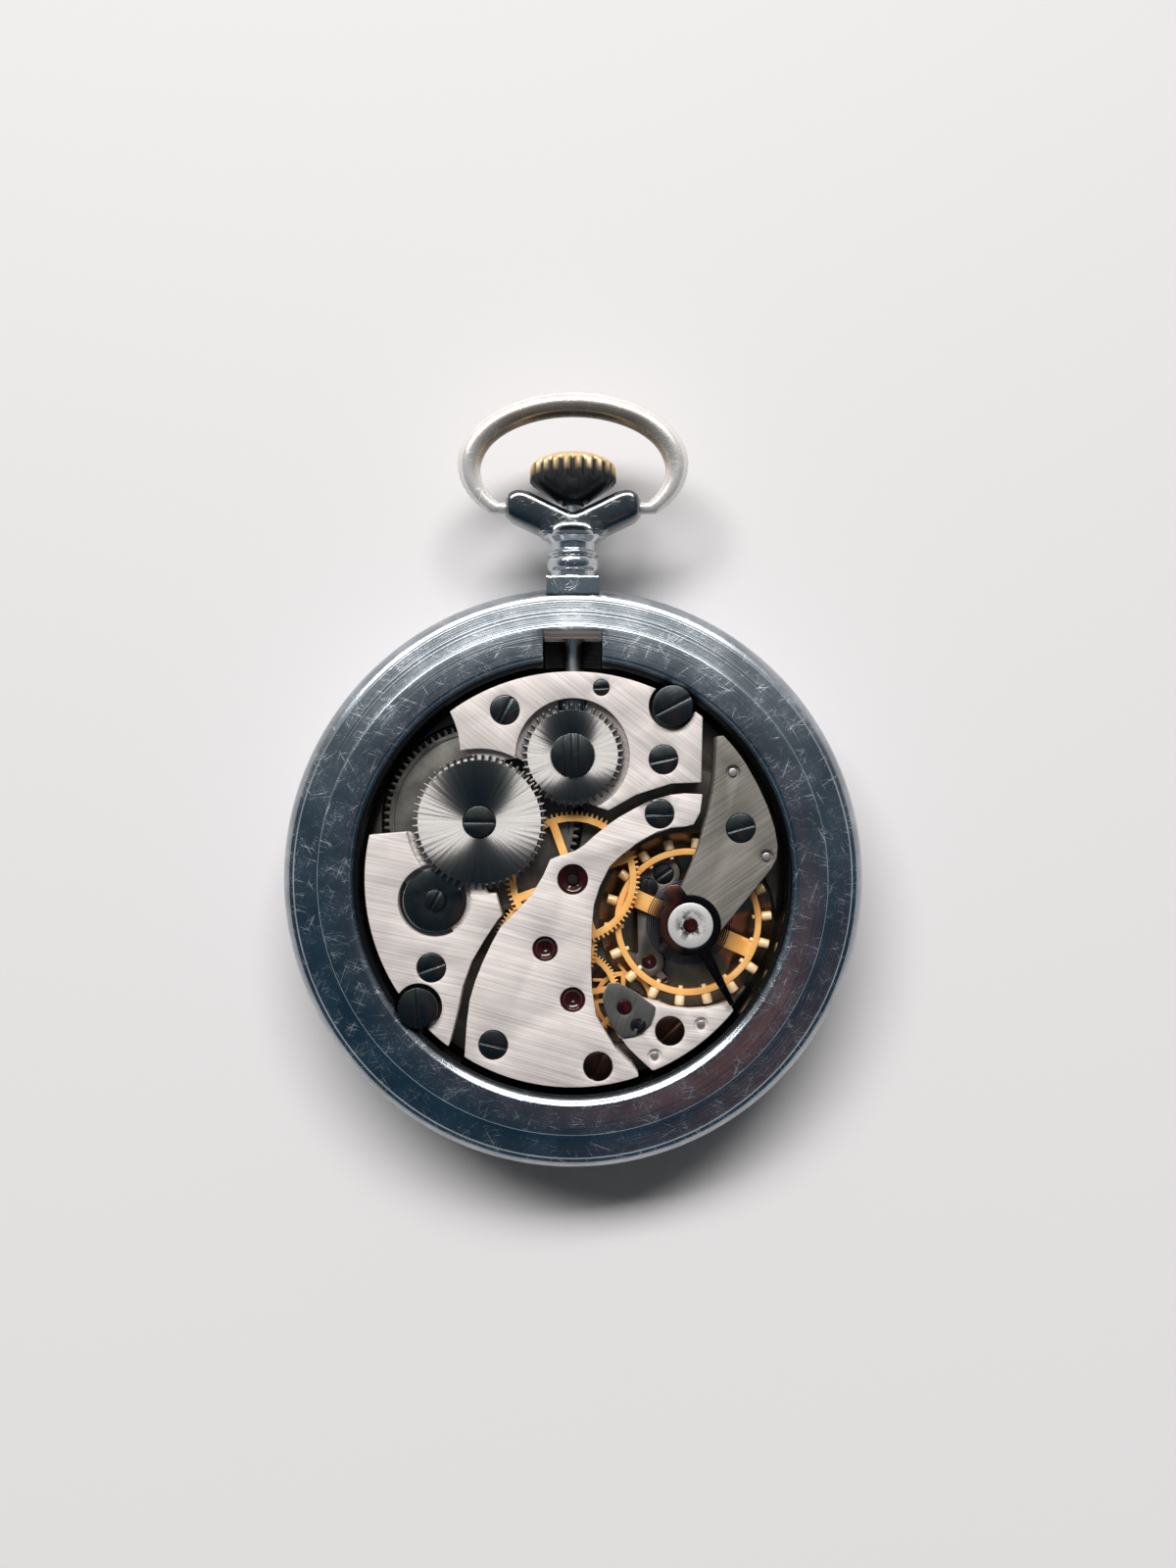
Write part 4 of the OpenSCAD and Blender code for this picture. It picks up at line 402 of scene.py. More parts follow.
# Balance jewel setting: a small silvery ring let into the cock, which holds the balance's upper jewel.
# Old oil has left a dark ragged stain round the jewel.
SETTING_SILVER = (0.8, 0.79, 0.78, 1)
STAIN_COLOUR = (0.05, 0.05, 0.05, 1)
STAIN_EDGE_MM = (0.8, 1.5)
STAINS_A_MM = 1.3
STAIN_DETAIL = 4
STAIN_STEP = (0.46, 0.56)
SETTING_GRAINS_A_MM = 5
SETTING_MATT = 0.2
SETTING_ROUGHNESS = 0.3
setting_silver, setting_shader, setting_place = new_finish("setting_silver", {"Metallic": 0.5})
near_jewel = 1 - setting_place.from_point(balance_mm).length().between(*STAIN_EDGE_MM)
stain = setting_place.noise(STAINS_A_MM, STAIN_DETAIL).between(*STAIN_STEP) * near_jewel
feed(setting_shader, {
    "Base Color": stain.mix(SETTING_SILVER, STAIN_COLOUR),
    "Roughness": setting_place.noise(SETTING_GRAINS_A_MM) * SETTING_MATT + SETTING_ROUGHNESS,
})
broken_edges("balance_jewel_setting", setting_silver, edge_mm=0.04)

# Jewels: synthetic rubies pressed into the bridges and the plate, dished so that oil stays at the pivot.
# They look almost black from above, with faint red patches and one bright glint each.
RUBY_BLACK = (0.006, 0.002, 0.002, 1)
RUBY_RED = (0.05, 0.003, 0.004, 1)
RUBY_GLOWS_A_MM = 1.2
RUBY_GLOW_STEP = (0.3, 0.75)
JEWEL_EDGE_MM = 0.05
JEWEL_EDGE_ROWS = 3
ruby, ruby_shader, ruby_place = new_finish("ruby", {
    "Roughness": 0.06,
    "IOR": 1.77,
    "Specular IOR Level": 0.25,
})
ruby_glow = ruby_place.noise(RUBY_GLOWS_A_MM).between(*RUBY_GLOW_STEP)
feed(ruby_shader, {"Base Color": ruby_glow.mix(RUBY_BLACK, RUBY_RED)})
broken_edges("train_jewels", ruby, JEWEL_EDGE_MM, JEWEL_EDGE_ROWS)
broken_edges("escapement_jewels", ruby, JEWEL_EDGE_MM, JEWEL_EDGE_ROWS)
coat("pallet_stones", ruby)

# Screws and pins: turned from steel, hardened, polished and left nearly black, each with one sawn slot.
# Two of the bridge screws have been heated to brown; the dowel pins are plain bright steel.
BROWN_SCREWS_MM = ((2.16, -15.96, 0), (8.3, -12.95, 0))
BROWN_EDGE_MM = (1.6, 1.7)
BROWN_STEEL = (0.075, 0.035, 0.026, 1)
SCREW_BLACK = (0.09, 0.1, 0.1, 1)
PLAIN_BLACK = (0.075, 0.083, 0.085, 1)
SCREW_ROUGHNESS = 0.2
PLAIN_ROUGHNESS = 0.22
FINE_SCRATCH_MM = (6, 0.25, 1)
FINE_SCRATCHES_A_MM = 2.5
FINE_SCRATCH_DETAIL = 6
FINE_SCRATCH_TURN = 0.6
FINE_SCRATCH_STEP = (0.68, 0.78)
FINE_SCRATCH_MATT = 0.2
FINE_SCRATCH_COLOUR = (0.3, 0.31, 0.32, 1)
BLACK_CLOUDS_A_MM = 1.2
BLACK_CLOUD_MATT = 0.15


def black_polish(name, colour, roughness, changed=None, new_colour=None):
    """Black polished steel with a few light scratches; a field can mark where it has a new colour."""
    material, shader, place = new_finish(name, {"Metallic": 1.0})
    lines = place.noise(FINE_SCRATCHES_A_MM, FINE_SCRATCH_DETAIL, FINE_SCRATCH_MM, FINE_SCRATCH_TURN)
    scratch = lines.between(*FINE_SCRATCH_STEP)
    base = scratch.mix(colour, FINE_SCRATCH_COLOUR)
    if changed:
        base = changed(place).mix(base, new_colour)
    cloud = place.noise(BLACK_CLOUDS_A_MM)
    feed(shader, {
        "Base Color": base,
        "Roughness": scratch * FINE_SCRATCH_MATT + cloud * BLACK_CLOUD_MATT + roughness,
    })
    return material


def heated_screws(place):
    """One on the two screws that were heated."""
    first, second = (1 - place.from_point(spot).length().between(*BROWN_EDGE_MM) for spot in BROWN_SCREWS_MM)
    return first + second


screw_black = black_polish("screw_black", SCREW_BLACK, SCREW_ROUGHNESS, heated_screws, BROWN_STEEL)
plain_black = black_polish("plain_black", PLAIN_BLACK, PLAIN_ROUGHNESS)
broken_edges("bridge_screws", screw_black, edge_mm=0.05)
for screws in ("case_screws", "small_screws"):
    broken_edges(screws, plain_black, edge_mm=0.04)
pin_steel = plain_steel("pin_steel", colour=(0.62, 0.6, 0.57, 1), roughness=0.3)
broken_edges("dowel_pins", pin_steel, edge_mm=0.06, rows=3)

# Balance: a gilt wheel with one bar, weighted by screws round its rim, which swings on its staff.
# The screws are turned from brass; some are plated paler than the rest.
WEIGHT_DARK = (0.95, 0.55, 0.2, 1)
WEIGHT_LIGHT = (1.0, 0.86, 0.6, 1)
balance_gilding = gilding("balance_gilding", GILT_DARK, GILT_LIGHT, roughness=0.28)
broken_edges("balance_wheel", balance_gilding, edge_mm=0.04)
screw_gilding = gilding("screw_gilding", WEIGHT_DARK, WEIGHT_LIGHT, roughness=0.24)
broken_edges("balance_screws", screw_gilding, edge_mm=0.05)
coat("balance_staff", bright_steel)

# Hairspring: a flat blued steel strip in a dense spiral, from a collet on the staff to a stud in the cock.
# It fills the same ring as the CAD strip with more and closer turns, as the real spring does.
STRIP_THICKNESS_MM = 0.08
STRIP_HEIGHT_MM = 0.2
SPIRAL_TURNS = 15
SPIRAL_POINTS = 64
SPIRAL_INNER_MM = 0.95
SPIRAL_MARGIN_MM = 0.1
hair_low, hair_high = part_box("hairspring")
hair_reach = min(hair_high.x - balance_middle.x, hair_high.y - balance_middle.y)
hair_middle = (balance_middle.x, balance_middle.y, (hair_low.z + hair_high.z) / 2)


def node_group(name, inputs):
    """An empty geometry tree with named inputs; gives the tree, its input node and its output node."""
    tree = bpy.data.node_groups.new(name, "GeometryNodeTree")
    tree.interface.new_socket("Geometry", in_out="OUTPUT", socket_type="NodeSocketGeometry")
    for label, kind in inputs.items():
        tree.interface.new_socket(label, in_out="INPUT", socket_type="NodeSocket" + kind)
    return tree, tree.nodes.new("NodeGroupInput"), tree.nodes.new("NodeGroupOutput")


def add_node(tree, kind, settings, values):
    """Adds a geometry node, with its sockets filled or linked by name or number."""
    made = tree.nodes.new(kind)
    for key, value in settings.items():
        setattr(made, key, value)
    for key, value in values.items():
        if isinstance(value, bpy.types.NodeSocket):
            tree.links.new(value, made.inputs[key])
        else:
            made.inputs[key].default_value = value
    return made


def finish_tree(tree, geometry, material, group_output):
    """Makes instances real, gives them their material and sends them out of the tree."""
    real = add_node(tree, "GeometryNodeRealizeInstances", {}, {0: geometry})
    done = add_node(tree, "GeometryNodeSetMaterial", {}, {0: real.outputs[0], "Material": material})
    tree.links.new(done.outputs[0], group_output.inputs[0])


def grown_mesh(name, tree, values):
    """Runs a geometry tree with the given inputs and returns its plain mesh."""
    holder = bpy.data.objects.new(name, bpy.data.meshes.new(name))
    bpy.context.scene.collection.objects.link(holder)
    modifier = holder.modifiers.new(name, "NODES")
    modifier.node_group = tree
    for item in tree.interface.items_tree:
        if item.in_out == "INPUT":
            modifier[item.identifier] = values[item.name]
    return plain_mesh(holder)


spring_tree, spring_in, spring_out = node_group("wound_strip", {
    "Inner": "Float",
    "Outer": "Float",
    "Turns": "Float",
    "Thickness": "Float",
    "Height": "Float",
    "Finish": "Material",
})
spiral = add_node(spring_tree, "GeometryNodeCurveSpiral", {}, {
    "Resolution": SPIRAL_POINTS,
    "Rotations": spring_in.outputs["Turns"],
    "Start Radius": spring_in.outputs["Inner"],
    "End Radius": spring_in.outputs["Outer"],
    "Height": 0.0,
})
strip = add_node(spring_tree, "GeometryNodeCurvePrimitiveQuadrilateral", {}, {
    "Width": spring_in.outputs["Thickness"],
    "Height": spring_in.outputs["Height"],
})
swept = add_node(spring_tree, "GeometryNodeCurveToMesh", {}, {
    "Curve": spiral.outputs[0],
    "Profile Curve": strip.outputs[0],
    "Fill Caps": True,
})
finish_tree(spring_tree, swept.outputs[0], spring_in.outputs["Finish"], spring_out)
spring_mesh = grown_mesh("hairspring_rough", spring_tree, {
    "Inner": SPIRAL_INNER_MM * MM,
    "Outer": hair_reach - SPIRAL_MARGIN_MM * MM,
    "Turns": SPIRAL_TURNS,
    "Thickness": STRIP_THICKNESS_MM * MM,
    "Height": STRIP_HEIGHT_MM * MM,
    "Finish": blued_spring,
})
spring_mesh.transform(Matrix.Translation(hair_middle))
add_piece("hairspring_wound", spring_mesh, BODY_OF["hairspring"], ["hairspring"])
coat("hairspring_stud", bright_steel)

# Regulator: a flat steel lever sprung round the balance jewel's setting, with a long pointer.
# It was blued; the side away from the cock has worn to a coppery brown.
REGULATOR_BLUE = (0.02, 0.022, 0.025, 1)
COPPERY_BROWN = (0.2, 0.085, 0.055, 1)
WORN_FROM_MM = -0.6
WORN_TO_MM = -1.4


def worn_side(place):
    """One on the side of the regulator that has worn brown."""
    return place.from_point(balance_mm).part("X").between(WORN_FROM_MM, WORN_TO_MM)


regulator_steel = black_polish("regulator_steel", REGULATOR_BLUE, SCREW_ROUGHNESS, worn_side, COPPERY_BROWN)
broken_edges("regulator", regulator_steel, edge_mm=0.05)

# Winding wheels: the ratchet wheel on the barrel arbor and the crown wheel that drives it, both of steel.
# Their faces are ground with fine lines that all run to the middle, so light gathers in opposite fans.
GROOVE_TILT = 0.39
GROOVE_CHANGE = 0.16
STREAKS_A_TURN = 85
STREAK_STEP = (0.25, 0.75)
STREAK_MEAN = 0.5
LEFT_SHARE = 0.5
STREAK_SHARE = 0.7
FLECK_SHARE = 0.3
FLECKS_A_MM = 2.2
FLECK_DETAIL = 6
FLECK_STEP = (0.66, 0.72)
SUNRAY_DARK = (0.105, 0.105, 0.102, 1)
SUNRAY_LIGHT = (0.165, 0.155, 0.15, 1)
SUNRAY_SHINE = {"Metallic": 1.0, "Roughness": 0.27}
TO_WORLD = {"vector_type": "VECTOR", "convert_from": "OBJECT", "convert_to": "WORLD"}


def sunray_steel(name, centre):
    """Steel ground in lines out from a centre; one side of each line leans left and the other right."""
    material, left_side, place = new_finish(name, SUNRAY_SHINE)
    tree = material.node_tree
    right_side = tree.nodes.new("ShaderNodeBsdfPrincipled")
    for socket, value in SUNRAY_SHINE.items():
        right_side.inputs[socket].default_value = value
    local = place.from_point(centre)
    angle = local.math("ARCTAN2", local.part("Y"), local.part("X"))
    streak = angle.noise_along(STREAKS_A_TURN / math.tau)
    fleck = place.noise(FLECKS_A_MM, FLECK_DETAIL).between(*FLECK_STEP)
    tone = streak.between(*STREAK_STEP) * STREAK_SHARE + fleck * FLECK_SHARE
    colour = tone.mix(SUNRAY_DARK, SUNRAY_LIGHT)
    upright = Field(tree.nodes.new("ShaderNodeNewGeometry").outputs["Normal"])
    tilt = (streak - STREAK_MEAN) * GROOVE_CHANGE + GROOVE_TILT
    for shader, lean in ((left_side, tilt), (right_side, tilt * -1)):
        sideways = lean.node("ShaderNodeCombineXYZ", {}, {
            0: angle.math("SINE", angle) * -1 * lean,
            1: angle.math("COSINE", angle) * lean,
        })
        in_world = sideways.node("ShaderNodeVectorTransform", TO_WORLD, {0: sideways})
        leaning = upright.vector_math("ADD", in_world)
        normal = leaning.node("ShaderNodeVectorMath", {"operation": "NORMALIZE"}, {0: leaning})
        feed(shader, {"Base Color": colour, "Normal": normal})
    left_light = Field(left_side.outputs[0])
    right_light = Field(right_side.outputs[0])
    both = left_light.node("ShaderNodeMixShader", {}, {0: LEFT_SHARE, 1: left_light, 2: right_light})
    tree.links.new(both.socket, tree.nodes["Material Output"].inputs["Surface"])
    return material


def middle_mm(node):
    """Middle of a CAD node's box, in millimetres, at floor height."""
    low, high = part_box(node)
    return ((low.x + high.x) / 2 * TO_MM, (low.y + high.y) / 2 * TO_MM, 0)


ratchet_steel = sunray_steel("ratchet_steel", middle_mm("ratchet_wheel"))
crown_wheel_steel = sunray_steel("crown_wheel_steel", middle_mm("crown_wheel"))
broken_edges("ratchet_wheel", ratchet_steel, edge_mm=0.05)
broken_edges("crown_wheel", crown_wheel_steel, edge_mm=0.05)
for black in ("ratchet_screw", "crown_wheel_screw", "click_screw"):
    broken_edges(black, plain_black, edge_mm=0.04)
broken_edges("click", screw_black, edge_mm=0.04)
coat("click_spring", plain_black)

# Keyless work: the stem, its two pinions, the setting lever and the yoke, all of plain steel.
# Only the stem shows from above, as a thin bright rod in the case's notch.
for steel in ("winding_stem", "winding_pinion", "sliding_pinion", "setting_lever", "yoke"):
    coat(steel, bright_steel)

# Dial: a pale lacquered disc with printed figures and marks, held by two feet in the plate.
# It faces the table, so its figures are turned over and lie on its lower face.
LACQUER_DARK = (0.84, 0.82, 0.76, 1)
LACQUER_LIGHT = (0.9, 0.89, 0.85, 1)
LACQUER_TONES_A_MM = 0.3
INK_DARK = (0.01, 0.01, 0.012, 1)
INK_LIGHT = (0.03, 0.03, 0.035, 1)
INK_TONES_A_MM = 3
HOURS = 12
HOUR_OF_SECONDS_RING = 6
FIGURE_SIZE_MM = 3.4
FIGURE_RING_MM = 15.3
FIGURE_DEPTH_MM = 0.02
lacquer, lacquer_shader, lacquer_place = new_finish("lacquer", {"Roughness": 0.25, "Coat Weight": 0.4})
feed(lacquer_shader, {"Base Color": lacquer_place.noise(LACQUER_TONES_A_MM).mix(LACQUER_DARK, LACQUER_LIGHT)})
coat("dial", lacquer)
dial_ink, ink_shader, ink_place = new_finish("dial_ink", {"Roughness": 0.4})
feed(ink_shader, {"Base Color": ink_place.noise(INK_TONES_A_MM).mix(INK_DARK, INK_LIGHT)})
dial_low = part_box("dial")[0]
dial_face = Vector((0, 0, dial_low.z))
figures = bmesh.new()
for hour in range(1, HOURS + 1):
    if hour == HOUR_OF_SECONDS_RING:
        continue
    letters = bpy.data.curves.new("figure", "FONT")
    letters.body = str(hour)
    letters.size = FIGURE_SIZE_MM * MM
    letters.extrude = FIGURE_DEPTH_MM * MM
    letters.align_x = "CENTER"
    letters.align_y = "CENTER"
    figure = bpy.data.objects.new("figure", letters)
    bpy.context.scene.collection.objects.link(figure)
    bpy.context.view_layer.update()
    flat = plain_mesh(figure)
    hour_angle = math.tau * hour / HOURS
    spot = Vector((-math.sin(hour_angle), math.cos(hour_angle), 0)) * FIGURE_RING_MM * MM
    flat.transform(Matrix.Translation(spot + dial_face) @ Matrix.Rotation(math.pi, 4, "Y"))
    figures.from_mesh(flat)
figure_mesh = bpy.data.meshes.new("dial_figures")
figures.to_mesh(figure_mesh)
figures.free()
figure_mesh.materials.append(dial_ink)
add_piece("dial_figures", figure_mesh, BODY_OF["dial"])

# Rings of marks: printed on the dial for minutes and hours, and on its sunk small ring for seconds.
# Each ring is one piece, a thin block of ink repeated round a circle.
MARKS_A_TURN = 60
MARK_RING_MM = 18.9
MINUTE_MARK_MM = (0.9, 0.12, 0.04)
HOUR_MARK_MM = (1.3, 0.3, 0.04)
SECONDS_RING_MM = 3.9
SECOND_MARK_MM = (0.4, 0.06, 0.04)
SECONDS_SINK_MM = 0.12
fourth_low, fourth_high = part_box("fourth_wheel")
seconds_middle = (fourth_low + fourth_high) / 2
seconds_face = Vector((seconds_middle.x, seconds_middle.y, dial_low.z + SECONDS_SINK_MM * MM))
mark_tree, mark_in, mark_out = node_group("ring_of_marks", {
    "Count": "Int",
    "Radius": "Float",
    "Size": "Vector",
    "Finish": "Material",
})
circle = add_node(mark_tree, "GeometryNodeMeshCircle", {}, {
    "Vertices": mark_in.outputs["Count"],
    "Radius": mark_in.outputs["Radius"],
})
index = add_node(mark_tree, "GeometryNodeInputIndex", {}, {})
step = add_node(mark_tree, "ShaderNodeMath", {"operation": "DIVIDE"}, {
    0: math.tau,
    1: mark_in.outputs["Count"],
})
mark_angle = add_node(mark_tree, "ShaderNodeMath", {"operation": "MULTIPLY"}, {
    0: index.outputs[0],
    1: step.outputs[0],
})
about_z = add_node(mark_tree, "ShaderNodeCombineXYZ", {}, {2: mark_angle.outputs[0]})
block = add_node(mark_tree, "GeometryNodeMeshCube", {}, {"Size": mark_in.outputs["Size"]})
marks = add_node(mark_tree, "GeometryNodeInstanceOnPoints", {}, {
    "Points": circle.outputs[0],
    "Instance": block.outputs[0],
    "Rotation": about_z.outputs[0],
})
finish_tree(mark_tree, marks.outputs[0], mark_in.outputs["Finish"], mark_out)


def mark_ring(name, count, radius_mm, size_mm, middle):
    """A printed ring of marks on the dial's lower face, as one piece."""
    mesh = grown_mesh(name + "_rough", mark_tree, {
        "Count": count,
        "Radius": radius_mm * MM,
        "Size": tuple(side * MM for side in size_mm),
        "Finish": dial_ink,
    })
    mesh.transform(Matrix.Translation(middle))
    add_piece(name, mesh, BODY_OF["dial"])


mark_ring("minute_marks", MARKS_A_TURN, MARK_RING_MM, MINUTE_MARK_MM, dial_face)
mark_ring("hour_marks", HOURS, MARK_RING_MM, HOUR_MARK_MM, dial_face)
mark_ring("seconds_marks", MARKS_A_TURN, SECONDS_RING_MM, SECOND_MARK_MM, seconds_face)

# Hands and motion work: blued steel hands pressed on their tubes, and the wheels behind the dial.
# They turn the hour hand once while the minute hand turns twelve times.
hand_blue = plain_steel("hand_blue", colour=(0.03, 0.05, 0.14, 1), roughness=0.25)
for hand in ("hour_hand", "minute_hand", "seconds_hand"):
    broken_edges(hand, hand_blue, edge_mm=0.03)
for wheel in ("minute_wheel", "hour_wheel"):
    coat(wheel, wheel_gilding)
for steel in ("cannon_pinion", "setting_wheel"):
    coat(steel, bright_steel)

# Case middle and bezel: turned steel rings, polished; the middle has a raised step for the back.
# Years of openings have left the middle full of fine scratches and pits, and hazy towards the pendant.
CASE_EDGE_MM = 0.1
CASE_EDGE_ROWS = 3
SCRATCH_MM = (3.5, 0.09, 1)
SCRATCH_STEP = (0.63, 0.71)
SCRATCH_BREAKS_A_MM = 0.9
SCRATCH_BREAK_STEP = (0.44, 0.62)
SCRATCH_SETS = ((0.6, 1.0), (2.1, 1.2), (1.2, 0.8), (2.8, 0.9), (0.1, 1.1))
CLOUDY_A_MM = 0.3
CLOUDY_DETAIL = 5
CLOUDY_STEP = (0.42, 0.64)
SPECKS_A_MM = 1.6
SPECK_DETAIL = 6
SPECK_STEP = (0.45, 0.75)
PITS_A_MM = 8
PIT_DETAIL = 2
PIT_STEP = (0.64, 0.72)
PIT_IN_CLOUD = 0.7
PIT_ELSEWHERE = 0.15
CLOUDY_PALE = 0.3
MARK_PALE = 0.42
MARK_METAL_LOSS = 0.25
MARK_MATT = 0.2
CLOUDY_MATT = 0.06
MARK_DEPTH_MM = 0.01
MARK_STRENGTH = 0.4
LATHE_LINES_A_MM = 7
LATHE_DEPTH = 4


def scratches(place, turn, scale):
    """Thin scattered lines in one direction."""
    long_lines = place.noise(scale, stretch=SCRATCH_MM, turn=turn)
    breaks = place.noise(SCRATCH_BREAKS_A_MM).between(*SCRATCH_BREAK_STEP)
    return long_lines.between(*SCRATCH_STEP) * breaks


def case_polish(name, dark, light, matt, zones=(), metal=1.0, lathe=0.0, haze=None):
    """Mirror steel with pale scratches and pits, cloudy in places, on which lathe lines can show.

    A zone has a field, a colour and a loss of shine; a haze is a field of added roughness."""
    material, shader, place = new_finish(name, {})
    cloud = place.noise(CLOUDY_A_MM, CLOUDY_DETAIL).between(*CLOUDY_STEP)
    speck = place.noise(SPECKS_A_MM, SPECK_DETAIL).between(*SPECK_STEP)
    pit = place.noise(PITS_A_MM, PIT_DETAIL).between(*PIT_STEP) * (cloud * PIT_IN_CLOUD + PIT_ELSEWHERE)
    mark = pit
    for turn, scale in SCRATCH_SETS:
        mark = scratches(place, turn, scale) + mark
    mark = mark.at_most_one()
    base = (cloud * CLOUDY_PALE + mark * MARK_PALE).at_most_one().mix(dark, light)
    shine = metal - mark * MARK_METAL_LOSS
    for inside, colour, loss in zones:
        zone = inside(place)
        base = zone.mix(base, colour)
        shine = shine - zone * loss
    rough = mark * MARK_MATT + cloud * speck * CLOUDY_MATT + matt
    if haze:
        rough = rough + haze(place)
    height = mark + place.length().noise_along(LATHE_LINES_A_MM) * lathe
    feed(shader, {
        "Base Color": base,
        "Metallic": shine,
        "Roughness": rough,
        "Normal": bumped(height, MARK_DEPTH_MM, MARK_STRENGTH),
    })
    return material


NOTCH_END_MM = 21.5
NOTCH_EDGE_MM = 0.1
HOLLOW_FROM_MM = 0.35
HOLLOW_TO_MM = 0.15
# The hollow inside the ring and its notch is coloured near black: painted shade.
PAINTED_HOLLOW_SHADE = (0.02, 0.022, 0.024, 1)
LEDGE_START_MM = 20.72
LEDGE_END_MM = 21.25
LEDGE_HALF_MM = 2.45
LEDGE_EDGE_MM = 0.05
LEDGE_TOP_MM = (0.3, 0.2)
# The ledge is painted cream and nearly matt: a painted highlight for its polished chamfer.
LEDGE_PAINTED_HIGHLIGHT = (1.0, 0.95, 0.92, 1)
LEDGE_METAL_LOSS = 0.95
HAZE_FROM_TO_MM = (6, 22)
HAZE_MATT = 0.12
RING_STEEL = (0.3, 0.33, 0.355, 1)
RING_WORN = (0.7, 0.73, 0.77, 1)
BEZEL_STEEL = (0.5, 0.51, 0.53, 1)
BEZEL_WORN = (0.62, 0.63, 0.65, 1)
case_top_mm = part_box("case_middle")[1].z * TO_MM


def past(value, limit):
    """One where a value is past a limit, with a thin soft edge."""
    return value.between(limit, limit + LEDGE_EDGE_MM)


def inside_case(place):
    """One inside the ring and its notch, below the flat top, where near-black shade is painted."""
    near = 1 - place.length().between(NOTCH_END_MM, NOTCH_END_MM + NOTCH_EDGE_MM)
    below = 1 - place.part("Z").between(case_top_mm - HOLLOW_FROM_MM, case_top_mm - HOLLOW_TO_MM)
    return near * below * (1 - past(place.part("Y"), LEDGE_START_MM))


def notch_ledge(place):
    """One on the step at the outer end of the notch, where a highlight is painted."""
    sideways = place.part("X")
    across = 1 - past(sideways.math("ABSOLUTE", sideways), LEDGE_HALF_MM)
    along = past(place.part("Y"), LEDGE_START_MM) * (1 - past(place.part("Y"), LEDGE_END_MM))
    ledge_low, ledge_high = (case_top_mm - drop for drop in LEDGE_TOP_MM)
    return across * along * (1 - place.part("Z").between(ledge_low, ledge_high))


def hazy_end(place):
    """Added roughness towards the pendant, where the back is pried open."""
    return place.part("Y").between(*HAZE_FROM_TO_MM) * HAZE_MATT


ring_zones = ((inside_case, PAINTED_HOLLOW_SHADE, 0.0), (notch_ledge, LEDGE_PAINTED_HIGHLIGHT, LEDGE_METAL_LOSS))
ring_polish = case_polish("ring_polish", RING_STEEL, RING_WORN, matt=0.2, zones=ring_zones,
                          lathe=LATHE_DEPTH, haze=hazy_end)
broken_edges("case_middle", ring_polish, CASE_EDGE_MM, CASE_EDGE_ROWS)
bezel_polish = case_polish("bezel_polish", BEZEL_STEEL, BEZEL_WORN, matt=0.2)
broken_edges("bezel", bezel_polish, CASE_EDGE_MM, CASE_EDGE_ROWS)

# Crystal: a clear disc with a slanting edge, pressed into the bezel; the watch rests on its flat middle.
# It is untinted watch glass, which here bends light less than glass does, so that the figures stay whole.
GLASS_SMEARS_A_MM = 0.5
GLASS_MATT = 0.03
glass, glass_shader, glass_place = new_finish("glass", {
    "Base Color": (0.97, 0.98, 0.98, 1),
    "Transmission Weight": 1.0,
    "IOR": 1.12,
    "Coat Weight": 1.0,
})
feed(glass_shader, {"Roughness": glass_place.noise(GLASS_SMEARS_A_MM) * GLASS_MATT})
coat("crystal", glass)

# Pendant: the turned neck that the stem runs through, with a saddle whose two ears hold the bow.
# It is of the case's steel; its saddle is painted darker, a painted reflection of the dark room, and its arms
# flow softly into each other.
PENDANT_STEEL = (0.5, 0.52, 0.54, 1)
PENDANT_WORN = (0.7, 0.72, 0.74, 1)
SADDLE_PAINTED_DARK_REFLECTION = (0.16, 0.175, 0.18, 1)
SADDLE_FOOT_MM = 29.9
SADDLE_EDGE_MM = 0.2
PIVOT_Y_MM = 32.3
PIN_EDGE_MM = 0.8
STEM_EDGE_MM = 1.3
VOXEL_MM = 0.08
SADDLE_PASSES = 200
PASS_SHARE = 0.5
SOFT_ANGLE = math.radians(50)
bow_low, bow_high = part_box("bow")
stem_z_mm = (bow_low.z + bow_high.z) / 2 * TO_MM


def on_saddle(place):
    """One on the saddle, above the turned neck, where the dark reflection is painted."""
    return place.part("Y").between(SADDLE_FOOT_MM, SADDLE_FOOT_MM + SADDLE_EDGE_MM)


def on_arms(spot):
    """True on the saddle's arms, away from the holes for the stem and for the bow's pins."""
    from_stem = math.hypot(spot.x, spot.z - stem_z_mm)
    from_pin = math.hypot(spot.y - PIVOT_Y_MM, spot.z - stem_z_mm)
    return spot.y > SADDLE_FOOT_MM and from_stem > STEM_EDGE_MM and from_pin > PIN_EDGE_MM


def all_smooth(mesh, sharp_angle):
    """Shades a mesh smooth, but for edges sharper than an angle."""
    mesh.polygons.foreach_set("use_smooth", [True] * len(mesh.polygons))
    mesh.set_sharp_from_angle(angle=sharp_angle)


# The saddle's dark colour is a painted reflection.
pendant_polish = case_polish("pendant_polish", PENDANT_STEEL, PENDANT_WORN, matt=0.12,
                             zones=((on_saddle, SADDLE_PAINTED_DARK_REFLECTION, 0.0),), metal=0.95)
pendant_rough = bpy.data.objects.new("pendant_rough", merged_copy("pendant", pendant_polish))
bpy.context.scene.collection.objects.link(pendant_rough)
even = pendant_rough.modifiers.new("even", "REMESH")
even.mode = "VOXEL"
even.voxel_size = VOXEL_MM * MM
pendant_mesh = plain_mesh(pendant_rough)
pendant_mesh.materials.clear()
pendant_mesh.materials.append(pendant_polish)
pendant_shape = bmesh.new()
pendant_shape.from_mesh(pendant_mesh)
arms = [vertex for vertex in pendant_shape.verts if on_arms(vertex.co * TO_MM)]
every_axis = {"use_axis_x": True, "use_axis_y": True, "use_axis_z": True}
for smoothing in range(SADDLE_PASSES):
    bmesh.ops.smooth_vert(pendant_shape, verts=arms, factor=PASS_SHARE, **every_axis)
